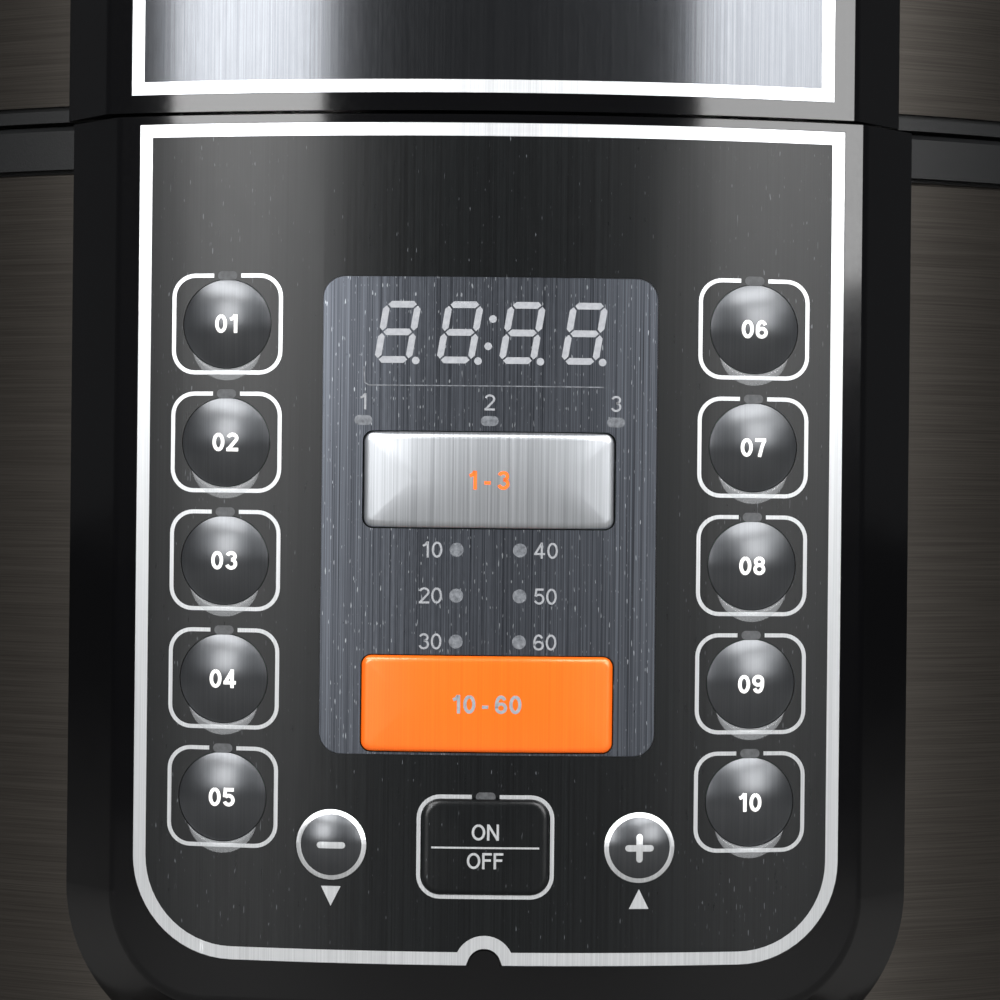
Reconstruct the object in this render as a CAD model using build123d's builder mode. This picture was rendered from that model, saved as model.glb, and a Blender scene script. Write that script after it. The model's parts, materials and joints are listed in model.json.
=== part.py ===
from build123d import *
import os
from math import radians, sqrt, tan

os.makedirs("parts", exist_ok=True)

# Electric pressure cooker, 6 litres. Millimetres, +Z up, the front looks along -Y.
# The origin is on the table, on the axis of the round body.

# ---- clearances ----
fit = 0.2  # pieces that plug into one another
touch = 0.3  # loose curved pieces
seat = 0.1  # pieces screwed onto the shell, the collar or the lid's rim
glue_t = 0.05  # adhesive behind the overlay, the window and the badge plate
seam = 0.6  # visible joints between the round pieces

# ---- the round body, from the table up ----
shell_r = 140.0  # outside of the steel shell
shell_wall = 0.8
shell_edge = 0.6  # rounding of its upper edge
foot_h = 5.0  # rubber feet
foot_r = 10.0
foot_count = 4
foot_inset = 22.0  # from the shell to the circle on which the feet stand
base_h = 40.0  # plastic base housing
band_h = 7.3  # visible height of the collar
band_proud = 1.0  # collar stands out from the shell by this
plastic_wall = 2.2
spigot_h = 8.0  # edge of the base inside the shell
cover_edge = 9.0  # width on which the bottom cover rests
cover_t = 1.5
vent_count = 16
vent_l = 34.0
vent_w = 3.2
vent_circle = 62.0

base_top = foot_h + base_h
shell_in = shell_r - shell_wall
spigot_r = shell_in - fit
collar_r = shell_r + band_proud
foot_circle = shell_r - foot_inset

# ---- inner pot, outer pan and bayonet ----
pot_space = 30.0  # from the pot's inside to the shell's outside
pot_lift = 73.3  # underside of the pot above the table
pot_depth = 158.0
pot_wall = 1.0
pot_corner = 9.0  # outer radius between the pot's wall and floor
pot_rim_w = 7.0  # turned-out rim
pan_gap = 3.4  # air between pot and pan
pan_wall = 1.2
pan_corner = 6.0
flange_rise = 1.0  # the pan's flange stands this far above the collar
flange_t = 2.0
lug_count = 6
lug_root = 11.1  # flange width between the lugs
lug_reach = 16.6  # flange width at the lugs
flange_lug_deg = 26.0
lid_lug_deg = 24.0
lid_lug_t = 2.0
lug_play = 2.0  # clearance around the lid's lugs
lid_wall_gap = 3.0  # from the flange lugs to the lid's side wall
lid_steel = 1.5
channel_depth = 7.5  # drip channel below the lid's lugs
channel_lip = 4.0  # from the pan to the channel's inner lip
lip_t = 2.5
channel_spigot = 9.0  # edge of the collar inside the shell

pot_r = shell_r - pot_space
pot_bottom = pot_lift
pot_top = pot_bottom + pot_wall + pot_depth
pan_r = pot_r + pot_wall + pan_gap
flange_top = pot_top - pot_wall - touch
body_top = flange_top - flange_rise  # top of the plastic collar
collar_z = body_top - band_h
shell_top = collar_z - seam
root_r = pan_r + lug_root
lug_r = pan_r + lug_reach
lid_wall_in = lug_r + lid_wall_gap
lid_wall_out = lid_wall_in + lid_steel
lid_lug_r = root_r + lug_play
lid_lug_top = flange_top - flange_t - lug_play
lid_lug_z = lid_lug_top - lid_lug_t

# ---- heating plate and its sensor ----
plate_inset = 20.5  # the plate is this much smaller than the pot
plate_t = 10.0
plate_feet_h = 2.0
element_r = 62.0  # middle of the heating element
element_w = 7.0
element_h = 1.2
sensor_r = 13.5
sensor_wall = 1.5
sensor_hole = 1.5  # clearance of the sensor in the plate
sensor_h = 9.5
spring_r = 9.4
spring_wire = 1.4
bracket_depth = 8.0
cutout_x = 44.0
cutout_r = 8.0
switch_inset = 27.5  # from the heating plate's edge to the pressure switch, on the other side
switch_box = (20.0, 28.0, 13.0)

plate_r = pot_r - plate_inset
switch_x = plate_r - switch_inset
plate_z = pot_bottom - plate_t
pan_floor = plate_z - plate_feet_h
pan_z = pan_floor - pan_wall

# ---- power board in the base ----
power_board_w = 96.0
power_board_d = 68.0
power_board_t = 1.6
power_board_lift = 10.5  # above the bottom of the base
power_post_x = 40.0
power_post_y = 26.0
# middle (x, y), width, depth and height: transformer, two relays, terminal block
power_blocks = (
    (-26.0, 12.0, 30.0, 26.0, 24.0),
    (10.0, 16.0, 16.0, 20.0, 16.0),
    (32.0, 16.0, 16.0, 20.0, 16.0),
    (-24.0, -22.0, 36.0, 9.0, 11.0),
)
power_cans = ((12.0, -18.0), (28.0, -18.0))  # capacitors
can_r = 5.0
can_h = 18.0

# ---- screws ----
screw_r = 1.7
screw_hole_r = 1.8
screw_head_r = 3.2
screw_head_h = 1.6
screw_bite = 8.5  # length that holds in the plastic
lid_screw_head_r = 3.6
lid_screw_head_h = 2.0
board_screw_r = 1.2
board_hole_r = 1.25
board_screw_head_r = 2.6

# ---- lid ----
rim_h = 2.0
bead_h = 0.7
bead_proud = 0.3
groove_h = 0.8
web_h = 8.0  # edge of the rim inside the skirt
skirt_inset = 0.4
skirt_h = 28.6
skirt_fold = 5.5  # turned-in upper edge of the skirt
dome_h = 28.0
dome_inset = 0.8
dome_edge_h = 3.0  # upright edge below the dome
dome_wall = 2.5
dome_shoulder = 2.0  # rounding between the dome and its upright edge
handle_rise = 35.0
handle_span = 112.0
handle_w = 34.0
handle_bar = 12.0
handle_foot = 16.0
handle_round = 4.0
screw_inset = 9.0  # from the handle's end to its screw
ceiling_rise = 15.1  # from the skirt's lower edge to the steel dish
crown_h = 7.5  # the dish rises by this in the middle
crown_inset = 15.6  # from the pot's wall to the raised middle
crown_slope = 8.0
carrier_inset = 5.8  # from the pot's wall to the ring that carries the seal
carrier_wall = 1.2
carrier_h = 14.0
seal_w = 16.4

rim_z = body_top + seam
rim_top = rim_z + rim_h
skirt_r = collar_r - skirt_inset
skirt_z = rim_top + groove_h
skirt_top = skirt_z + skirt_h
dome_edge_r = skirt_r - dome_inset
dome_edge_z = skirt_top + dome_edge_h
dome_flat_r = handle_span / 2 + 6.0
dome_top = skirt_top + dome_h
lid_height = dome_top + handle_rise
lid_ceiling = skirt_z + ceiling_rise
crown_top = lid_ceiling + lid_steel + crown_h
crown_r = pot_r - crown_inset
screw_x = handle_span / 2 - screw_inset

# ---- control fascia: part of a cylinder about the body's axis ----
fascia_depth = 12.0  # stands out from the shell by this
fascia_corner = 27.0
fascia_edge = 9.7  # sloping side, seen from the front
fascia_slope = 10.5  # the same slope, measured towards the body
fascia_round = 2.4
fascia_margin = 2.7  # from the overlay to the slope
fascia_foot = 16.7  # from the overlay to the fascia's lower end
fascia_wall = 2.0
hollow_inset = 2.0  # from the slope to the fascia's hollow
overlay_t = 0.8
overlay_corner = 16.5
overlay_top_gap = 1.3
notch_r = 2.7  # half-round notch in the middle of the overlay's lower edge
badge_h = 31.4
badge_edge = 8.7
badge_corner = 22.0  # of the outline before its ends are cut level
badge_crest = 2.2  # sloping upper edge
badge_round = 2.0
badge_inset = 0.7
plate_h = 26.0
plate_lift = 2.8
badge_turn = -0.75  # the lid's front block sits slightly off, within the play of its lugs

# ---- keys, window and lamps: distances down from the overlay's upper edge ----
key_r = 7.15
key_rows = 5
key_pitch = 19.2
key_col_x = 42.85
column_margin = 14.95  # from a column of keys to the overlay's side
key_top_drop = 32.7
key_proud = 0.7
key_clear = 0.15
key_travel = 0.6
key_chamfer = 0.5
key_lug = 1.5
key_lug_w = 6.0
key_lug_t = 1.2
stem_w = 4.0
stem_min = 1.0  # shortest stem behind a key's lugs
small_key_r = 5.65
small_key_x = 24.9
cancel_w = 20.6
cancel_h = 15.4
cancel_corner = 3.0
bar_key_w = 40.6
bar_key_h = 15.5
bar_key_corner = 1.6
level_drop = 57.7
select_step = 36.1  # from the level key down to the select key
low_row_step = 23.0  # from the select key down to the lowest row
low_margin = 19.2  # from the lowest row to the overlay's lower edge
window_drop = 24.9
window_w = 54.2
window_margin = 0.55  # below the select key
window_corner = 3.5
display_w = 46.8
display_h = 14.5
display_drop = 34.3
lamp_w = 2.9
lamp_h = 1.5
dot_x = 5.1
dot_drop = 68.9
dot_pitch = 7.4
level_lamp_x = 20.4
level_lamp_drop = 48.1
board_t = 1.6
board_side = 11.15  # from a column of keys to the control board's side
board_drop = 20.95
board_margin = 2.55
post_r = 3.0
post_inset = 4.0
switch_w = 6.0
switch_h = 4.3
plunger_w = 3.0
plunger_h = 1.0

fascia_r = shell_r + fascia_depth
floor_r = fascia_r - overlay_t
cavity_r = floor_r - fascia_wall
key_face_r = fascia_r + key_proud
overlay_top = body_top - overlay_top_gap
overlay_w = 2 * (key_col_x + column_margin)
level_key_z = overlay_top - level_drop
select_key_z = level_key_z - select_step
low_key_z = select_key_z - low_row_step
overlay_bottom = low_key_z - low_margin
overlay_h = overlay_top - overlay_bottom
overlay_mid = (overlay_top + overlay_bottom) / 2
fascia_half_w = overlay_w / 2 + fascia_margin + fascia_edge
fascia_bottom = overlay_bottom - fascia_foot
badge_half_w = fascia_half_w - badge_inset
plate_w = overlay_w - 0.4
window_top = overlay_top - window_drop
window_h = window_top - (select_key_z - bar_key_h / 2 - window_margin)
window_z = window_top - window_h / 2
display_z = overlay_top - display_drop
level_lamp_z = overlay_top - level_lamp_drop
dot_z = [overlay_top - dot_drop - i * dot_pitch for i in range(3)]
row_z = [overlay_top - key_top_drop - i * key_pitch for i in range(key_rows)]
board_w = 2 * (key_col_x + board_side)
board_h = overlay_h - board_drop - board_margin
board_z = overlay_bottom + board_margin + board_h / 2

# the outermost key of a column settles how far back the control board stands
column_edge = key_col_x + key_r + key_lug
column_lug_y = sqrt(cavity_r**2 - column_edge**2) - touch - key_lug_t
stem_end = column_lug_y - stem_min
board_front = stem_end - key_travel - plunger_h - switch_h - seat
board_y = board_front - board_t

# ---- side handles, rear cup and power inlet ----
side_depth = 26.0  # how far the handles stand out from the shell
side_root = 16.0
side_w = 84.0
side_h = 16.0
side_drop = 30.0  # from the body's top to the handles' underside
side_bar = 9.0
side_web = 3.0  # between the shell and the finger gap
side_end = 12.0
side_round = 3.5
cup_w = 48.4
cup_h = 37.0
cup_depth = 13.0
cup_wall = 1.6
cup_drop = 81.0  # from the body's top to the cup's underside
bracket_t = 3.4
bracket_cheek = 2.6
bracket_reach = 7.0
bracket_over = 2.0  # the bracket's middle is this far above the cup's
bracket_roof = 3.0
inlet_w = 28.0
inlet_h = 22.0
inlet_rise = 25.0  # middle of the inlet above the base housing
inlet_flange = 4.0
inlet_proud = 1.8
inlet_wall = 1.8
inlet_depth = 17.0
inlet_pin = 11.0
pin_pitch = 7.0
pin_w = 2.0
pin_h = 4.0

side_reach = shell_r + side_depth
side_z = body_top - side_drop
finger_gap = side_depth - side_bar - side_web
cup_z = body_top - cup_drop
inlet_z = base_top + inlet_rise
inlet_face = shell_r + inlet_proud

# ---- steam valve and float valve ----
valve_inset = 30.0  # from the pot's wall to the steam valve
valve_r = 13.0
valve_h = 24.0
valve_bore = 14.3
grip_w = 22.0
grip_t = 5.0
grip_h = 7.0
valve_well_r = 19.0
valve_well_depth = 17.0
well_wall = 2.0
well_lip = 0.4
stem_r = 3.25
stem_bore_r = 1.3
stem_collar = 4.0
stem_collar_h = 3.0
stem_tail = 6.0
stem_fit = 0.05
guard_r = 11.0
guard_h = 11.0
guard_wall = 1.2
guard_slot = 3.0
float_x = 30.0
float_step = 6.0  # the float valve is this much nearer to the middle
float_r = 2.8
float_foot = 3.0
float_travel = 4.0
gasket_lip = 1.4

valve_y = pot_r - valve_inset
float_y = valve_y - float_step


def save(piece, name):
    """Label the finished piece and write its STEP file."""
    piece.part.label = name
    export_step(piece.part, f"parts/{name}.step")


def front_y(x, radius):
    """Distance in front of the axis of a round surface, at x from the middle."""
    return sqrt(radius**2 - x**2)


def facing(distance):
    """Sketch plane that looks to the front, this far in front of the axis."""
    return Plane.XZ.offset(distance)


def ring_sectors(radius_out, radius_in, count, span, start=0):
    """Equal sectors of a ring about the axis, added to the sketch in hand."""
    half = 2 * radius_out * tan(radians(span / 2))
    with PolarLocations(0, count, start_angle=start):
        Polygon((0, 0), (2 * radius_out, -half), (2 * radius_out, half), align=None)
    Circle(radius_out, mode=Mode.INTERSECT)
    Circle(radius_in, mode=Mode.SUBTRACT)


# ================================================================= base
with BuildPart() as base_housing:
    recess_r = foot_circle - foot_r + foot_h
    opening_r = recess_r - cover_edge
    with BuildSketch(Plane.XZ):
        with BuildLine():
            ThreePointArc(
                (foot_circle + foot_r + 4.0, foot_h),
                (shell_r - 2.0, foot_h + 4.5),
                (shell_r + 0.5, foot_h + 15.0),
            )
            Polyline(
                (shell_r + 0.5, foot_h + 15.0),
                (shell_r + 0.5, base_top - 0.5),
                (shell_r, base_top),
                (spigot_r, base_top),
                (spigot_r, base_top + spigot_h),
                (spigot_r - plastic_wall, base_top + spigot_h),
                (spigot_r - plastic_wall, foot_h + 15.0),
                (foot_circle + foot_r + 3.0, foot_h + 4.0),
                (opening_r, foot_h + 4.0),
                (opening_r, foot_h + cover_t),
                (recess_r, foot_h + cover_t),
                (recess_r, foot_h),
                (foot_circle + foot_r + 4.0, foot_h),
            )
        make_face()
    revolve(axis=Axis.Z)
    with BuildSketch(Plane.XY.offset(foot_h)):
        with PolarLocations(foot_circle, foot_count, start_angle=45):
            Circle(4.0)
        with PolarLocations(recess_r - cover_edge / 2, foot_count, start_angle=20):
            Circle(screw_hole_r)
    extrude(amount=4.0, mode=Mode.SUBTRACT)
save(base_housing, "base_housing")

with BuildPart() as bottom_cover:
    with BuildSketch(Plane.XY.offset(foot_h)):
        Circle(recess_r - fit)
        with PolarLocations(vent_circle, vent_count):
            Rectangle(vent_l, vent_w, mode=Mode.SUBTRACT)
        with PolarLocations(recess_r - cover_edge / 2, foot_count, start_angle=20):
            Circle(screw_hole_r, mode=Mode.SUBTRACT)
    extrude(amount=cover_t)
    # posts of the power board
    with BuildSketch(Plane.XY.offset(foot_h + cover_t)):
        with GridLocations(2 * power_post_x, 2 * power_post_y, 2, 2):
            Circle(post_r + 0.5)
    extrude(amount=power_board_lift - cover_t)
save(bottom_cover, "bottom_cover")

with BuildPart() as feet:
    with BuildSketch(Plane.XY):
        with PolarLocations(foot_circle, foot_count, start_angle=45):
            Circle(foot_r)
    extrude(amount=foot_h)
    chamfer(feet.faces().group_by(Axis.Z)[0].edges(), 1.2)
    with BuildSketch(Plane.XY.offset(foot_h)):
        with PolarLocations(foot_circle, foot_count, start_angle=45):
            Circle(4.0 - fit)
    extrude(amount=3.6)
save(feet, "feet")

with BuildPart() as base_screws:
    with BuildSketch(Plane.XY.offset(foot_h - screw_head_h)):
        with PolarLocations(recess_r - cover_edge / 2, foot_count, start_angle=20):
            Circle(screw_head_r)
    extrude(amount=screw_head_h)
    with BuildSketch(Plane.XY.offset(foot_h)):
        with PolarLocations(recess_r - cover_edge / 2, foot_count, start_angle=20):
            Circle(screw_r)
    extrude(amount=screw_bite - 1.5)
save(base_screws, "base_screws")

# ================================================================= shell and collar
with BuildPart() as outer_shell:
    with BuildSketch(Plane.XY.offset(base_top)):
        Circle(shell_r)
        Circle(shell_in, mode=Mode.SUBTRACT)
    extrude(amount=shell_top - base_top)
    fillet(outer_shell.edges().group_by(Axis.Z)[-1].sort_by(SortBy.RADIUS)[-1], shell_edge)
    # window behind the control fascia
    with BuildSketch(facing(fascia_r)):
        with Locations((0, board_z)):
            Rectangle(board_w + 4, board_h + 6)
    extrude(amount=-fascia_r, mode=Mode.SUBTRACT)
    # cut-out for the power inlet
    with BuildSketch(Plane.XZ):
        with Locations((0, inlet_z)):
            Rectangle(inlet_w + 2 * fit, inlet_h + 2 * fit)
    extrude(amount=-fascia_r, mode=Mode.SUBTRACT)
save(outer_shell, "outer_shell")

collar_floor = lid_lug_z - channel_depth
collar_wall_in = lid_wall_out + plastic_wall
lip_r = pan_r + pan_wall + channel_lip
with BuildPart() as collar:
    with BuildSketch(Plane.XZ):
        with BuildLine():
            Polyline(
                (collar_r, collar_z),
                (collar_r, body_top - 0.8),
                (collar_r - 0.8, body_top),
                (collar_wall_in, body_top),
                (collar_wall_in, collar_floor),
                (lip_r + lip_t, collar_floor),
                (lip_r + lip_t, flange_top - flange_t),
                (lip_r, flange_top - flange_t),
                (lip_r, collar_floor - plastic_wall),
                (collar_wall_in - plastic_wall, collar_floor - plastic_wall),
                (collar_wall_in - plastic_wall, collar_floor - channel_spigot),
                (spigot_r, collar_floor - channel_spigot),
                (spigot_r, collar_z),
                close=True,
            )
        make_face()
    revolve(axis=Axis.Z)
save(collar, "collar")


# ================================================================= side handles
def side_handle(side, name):
    """Grip on one side of the shell, with a gap for the fingers."""
    root_x = shell_r - side_root
    with BuildPart() as grip:
        with BuildSketch(Plane.XY.offset(side_z)):
            with Locations((side * (root_x + side_reach) / 2, 0)):
                RectangleRounded(side_reach - root_x, side_w, (side_reach - root_x) / 3)
            with Locations((side * (side_reach - side_bar - finger_gap / 2), 0)):
                RectangleRounded(
                    finger_gap, side_w - 2 * side_end, finger_gap * 0.4, mode=Mode.SUBTRACT
                )
        extrude(amount=side_h)
        fillet(grip.faces().sort_by(Axis.Z)[-1].outer_wire().edges(), side_round)
        fillet(grip.faces().sort_by(Axis.Z)[0].outer_wire().edges(), side_round)
        with BuildSketch(Plane.XY.offset(side_z)):
            Circle(shell_r + seat)
        extrude(amount=side_h, mode=Mode.SUBTRACT)
    save(grip, name)


side_handle(-1, "left_handle")
side_handle(1, "right_handle")

# ================================================================= rear cup
bracket_back = shell_r + bracket_t
cup_front = bracket_back + touch
cup_top = cup_z + cup_h
with BuildPart() as cup_bracket:
    cheek_half = cup_w / 2 + touch + bracket_cheek
    with BuildSketch(Plane.XZ.offset(-shell_in)):
        with Locations((0, cup_z + cup_h / 2 + bracket_over)):
            RectangleRounded(2 * cheek_half, cup_h + 8, 4)
    extrude(amount=-(bracket_t + shell_wall))
    with BuildSketch(Plane.XZ.offset(-bracket_back)):
        for side in (-1, 1):
            with Locations((side * (cheek_half - bracket_cheek / 2), cup_z + cup_h / 2 + bracket_over)):
                Rectangle(bracket_cheek, cup_h - 6)
        with Locations((0, cup_top + touch + bracket_roof / 2)):
            Rectangle(2 * cheek_half - 8, bracket_roof)
    extrude(amount=-bracket_reach)
    with BuildSketch(Plane.XY.offset(cup_z - 10)):
        Circle(shell_r + seat)
    extrude(amount=cup_h + 20, mode=Mode.SUBTRACT)
save(cup_bracket, "cup_bracket")

with BuildPart() as condensation_cup:
    with BuildSketch(Plane.XZ.offset(-cup_front)):
        with Locations((0, cup_z + cup_h / 2)):
            RectangleRounded(cup_w, cup_h, 6)
    extrude(amount=-cup_depth)
    fillet(condensation_cup.faces().sort_by(Axis.Y)[-1].edges(), 3)
    with BuildSketch(Plane.XY.offset(cup_z + cup_wall)):
        with Locations((0, cup_front + cup_depth / 2)):
            RectangleRounded(cup_w - 2 * cup_wall, cup_depth - 2 * cup_wall, 3)
    extrude(amount=cup_h, mode=Mode.SUBTRACT)
save(condensation_cup, "condensation_cup")

# ================================================================= power inlet
with BuildPart() as power_inlet:
    with BuildSketch(Plane.XZ.offset(-inlet_face)):
        with Locations((0, inlet_z)):
            RectangleRounded(inlet_w + 2 * inlet_flange, inlet_h + 2 * inlet_flange, 3)
    extrude(amount=inlet_depth)
    with BuildSketch(Plane.XY.offset(inlet_z - inlet_h)):
        Circle(shell_r + seat)
    extrude(amount=2 * inlet_h, mode=Mode.SUBTRACT)
    with BuildSketch(Plane.XZ.offset(-inlet_face)):
        with Locations((0, inlet_z)):
            Rectangle(inlet_w, inlet_h)
    extrude(amount=inlet_depth + inlet_flange)
    with BuildSketch(Plane.XZ.offset(-inlet_face)):
        with Locations((0, inlet_z)):
            RectangleRounded(inlet_w - 2 * inlet_wall, inlet_h - 5.0, 2)
    extrude(amount=inlet_depth, mode=Mode.SUBTRACT)
save(power_inlet, "power_inlet")

with BuildPart() as inlet_pins:
    pin_spots = [(x, inlet_z - 1.5) for x in (-pin_pitch, pin_pitch)]
    with BuildSketch(Plane.XZ.offset(inlet_depth - inlet_face)):
        with Locations((0, inlet_z + 2.5), *pin_spots):
            Rectangle(pin_w, pin_h)
    extrude(amount=-inlet_pin)
save(inlet_pins, "inlet_pins")

# ================================================================= pan, heater and sensor
with BuildPart() as outer_pan:
    sensor_opening = sensor_r + sensor_hole + 2.0
    with BuildSketch(Plane.XZ):
        with BuildLine():
            Polyline(
                (sensor_opening, pan_z),
                (pan_r - pan_corner, pan_z),
                (pan_r + pan_wall, pan_floor + pan_corner),
                (pan_r + pan_wall, flange_top - flange_t),
                (root_r, flange_top - flange_t),
                (root_r, flange_top),
                (pan_r, flange_top),
                (pan_r, pan_floor + pan_corner),
                (pan_r - pan_corner, pan_floor),
                (sensor_opening, pan_floor),
                close=True,
            )
        make_face()
    revolve(axis=Axis.Z)
    with BuildSketch(Plane.XY.offset(flange_top - flange_t)):
        ring_sectors(lug_r, root_r - 3, lug_count, flange_lug_deg)
    extrude(amount=flange_t)
save(outer_pan, "outer_pan")

with BuildPart() as heating_plate:
    with BuildSketch(Plane.XY.offset(plate_z)):
        Circle(plate_r)
        Circle(sensor_r + sensor_hole, mode=Mode.SUBTRACT)
    extrude(amount=plate_t)
    with BuildSketch(Plane.XY.offset(pan_floor)):
        with PolarLocations(plate_r - 14, 3, start_angle=30):
            Circle(5)
    extrude(amount=plate_feet_h)
    # the heating element cast into the underside
    with BuildSketch(Plane.XY.offset(plate_z - element_h)):
        Circle(element_r + element_w / 2)
        Circle(element_r - element_w / 2, mode=Mode.SUBTRACT)
    extrude(amount=element_h)
save(heating_plate, "heating_plate")

bracket_floor = pan_z - bracket_depth
with BuildPart() as sensor_bracket:
    cup_r = sensor_r + 2.0
    with BuildSketch(Plane.XZ):
        with BuildLine():
            Polyline(
                (0, bracket_floor - pan_wall),
                (cup_r + pan_wall, bracket_floor - pan_wall),
                (cup_r + pan_wall, pan_z - pan_wall),
                (cup_r + 8, pan_z - pan_wall),
                (cup_r + 8, pan_z),
                (cup_r, pan_z),
                (cup_r, bracket_floor),
                (0, bracket_floor),
                close=True,
            )
        make_face()
    revolve(axis=Axis.Z)
save(sensor_bracket, "sensor_bracket")

cap_roof = pot_bottom - sensor_wall
with BuildPart() as sensor_cap:
    with BuildSketch(Plane.XZ):
        with BuildLine():
            Polyline(
                (0, cap_roof),
                (sensor_r - sensor_wall, cap_roof),
                (sensor_r - sensor_wall, pot_bottom - sensor_h),
                (sensor_r, pot_bottom - sensor_h),
                (sensor_r, pot_bottom - 1.0),
                (sensor_r - 1.0, pot_bottom),
                (0, pot_bottom),
                close=True,
            )
        make_face()
    revolve(axis=Axis.Z)
save(sensor_cap, "sensor_cap")

# envelope of the sensor's coil spring
with BuildPart() as sensor_spring:
    with BuildSketch(Plane.XY.offset(bracket_floor)):
        Circle(spring_r)
        Circle(spring_r - spring_wire, mode=Mode.SUBTRACT)
    extrude(amount=cap_roof - bracket_floor)
save(sensor_spring, "sensor_spring")

with BuildPart() as thermal_cutout:
    with BuildSketch(Plane.XY.offset(pan_z - 6)):
        with Locations((cutout_x, 0)):
            Circle(cutout_r)
    extrude(amount=6)
    with BuildSketch(Plane.XY.offset(pan_z - 5)):
        with Locations((cutout_x, 0)):
            Rectangle(6, 26)
    extrude(amount=1.0)
save(thermal_cutout, "thermal_cutout")

with BuildPart() as pressure_switch:
    switch_wide, switch_deep, switch_tall = switch_box
    with BuildSketch(Plane.XY.offset(pan_z - switch_tall - 3)):
        with Locations((-switch_x, 0)):
            RectangleRounded(switch_wide, switch_deep, 2)
    extrude(amount=switch_tall)
    with BuildSketch(Plane.XY.offset(pan_z - 3)):
        with Locations((-switch_x, 0)):
            Circle(3)
    extrude(amount=3)
save(pressure_switch, "pressure_switch")

board_level = foot_h + power_board_lift
with BuildPart() as power_board:
    with BuildSketch(Plane.XY.offset(board_level)):
        Rectangle(power_board_w, power_board_d)
    extrude(amount=power_board_t)
save(power_board, "power_board")

with BuildPart() as power_parts:
    parts_z = board_level + power_board_t
    for x, y, width, depth, height in power_blocks:
        with BuildSketch(Plane.XY.offset(parts_z)):
            with Locations((x, y)):
                Rectangle(width, depth)
        extrude(amount=height)
    with BuildSketch(Plane.XY.offset(parts_z)):
        with Locations(*power_cans):
            Circle(can_r)
    extrude(amount=can_h)
save(power_parts, "power_parts")

# ================================================================= inner pot
with BuildPart() as inner_pot:
    pot_out = pot_r + pot_wall
    with BuildSketch(Plane.XZ):
        with BuildLine():
            Polyline((0, pot_bottom), (pot_out - pot_corner, pot_bottom))
            RadiusArc(
                (pot_out - pot_corner, pot_bottom), (pot_out, pot_bottom + pot_corner), -pot_corner
            )
            Polyline(
                (pot_out, pot_bottom + pot_corner),
                (pot_out, pot_top - pot_wall),
                (pot_out + pot_rim_w, pot_top - pot_wall),
                (pot_out + pot_rim_w, pot_top),
                (pot_r, pot_top),
                (pot_r, pot_bottom + pot_corner),
            )
            RadiusArc(
                (pot_r, pot_bottom + pot_corner),
                (pot_out - pot_corner, pot_bottom + pot_wall),
                pot_corner - pot_wall,
            )
            Polyline(
                (pot_out - pot_corner, pot_bottom + pot_wall),
                (0, pot_bottom + pot_wall),
                (0, pot_bottom),
            )
        make_face()
    revolve(axis=Axis.Z)
save(inner_pot, "inner_pot")


# ================================================================= control fascia
def bar_key_openings(clearance, mode):
    """Openings of the two bar keys in the window."""
    with Locations((0, level_key_z), (0, select_key_z)):
        RectangleRounded(
            bar_key_w + 2 * clearance,
            bar_key_h + 2 * clearance,
            bar_key_corner + clearance,
            mode=mode,
        )


def key_openings(clearance, mode):
    """Openings of the round keys and the cancel key in the overlay."""
    with Locations(*[(side * key_col_x, z) for side in (-1, 1) for z in row_z]):
        Circle(key_r + clearance, mode=mode)
    with Locations((-small_key_x, low_key_z), (small_key_x, low_key_z)):
        Circle(small_key_r + clearance, mode=mode)
    with Locations((0, low_key_z)):
        RectangleRounded(
            cancel_w + 2 * clearance,
            cancel_h + 2 * clearance,
            cancel_corner + clearance,
            mode=mode,
        )


def overlay_outline(clearance):
    """Outline of the overlay: nearly square corners above, round ones below."""
    width = overlay_w - 2 * clearance
    with Locations((0, overlay_mid)):
        RectangleRounded(width, overlay_h - 2 * clearance, overlay_corner)
    with Locations((0, overlay_top - clearance - overlay_corner)):
        Rectangle(width, 2 * overlay_corner)


lamp_spots = [(side * key_col_x, z + key_r + 1.15) for side in (-1, 1) for z in row_z]
lamp_spots += [(0, low_key_z + cancel_h / 2 + 1.6)]
lamp_spots += [(x, level_lamp_z) for x in (-level_lamp_x, 0, level_lamp_x)]
lamp_spots += [(side * dot_x, z) for side in (-1, 1) for z in dot_z]

post_x = board_w / 2 - post_inset
post_dz = board_h / 2 - post_inset
post_spots = [(x, board_z + dz) for x in (-post_x, post_x) for dz in (-post_dz, post_dz)]

# space behind the front wall
with BuildPart() as fascia_hollow:
    hollow_low = fascia_bottom + fascia_edge + hollow_inset
    hollow_high = body_top - hollow_inset
    with BuildSketch(facing(shell_r / 2)):
        with Locations((0, (hollow_low + hollow_high) / 2)):
            RectangleRounded(
                2 * (fascia_half_w - fascia_edge - hollow_inset),
                hollow_high - hollow_low,
                fascia_corner - fascia_edge,
            )
    extrude(amount=fascia_r)
    Cylinder(cavity_r, 4 * body_top, mode=Mode.INTERSECT)

# pocket for the overlay, with the half-round boss left standing at its lower edge
with BuildPart() as overlay_pocket:
    with BuildSketch(facing(shell_r / 2)):
        overlay_outline(0)
        with Locations((0, overlay_bottom)):
            Circle(notch_r - fit, mode=Mode.SUBTRACT)
    extrude(amount=fascia_r)
    Cylinder(floor_r, 4 * body_top, mode=Mode.SUBTRACT)

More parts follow.
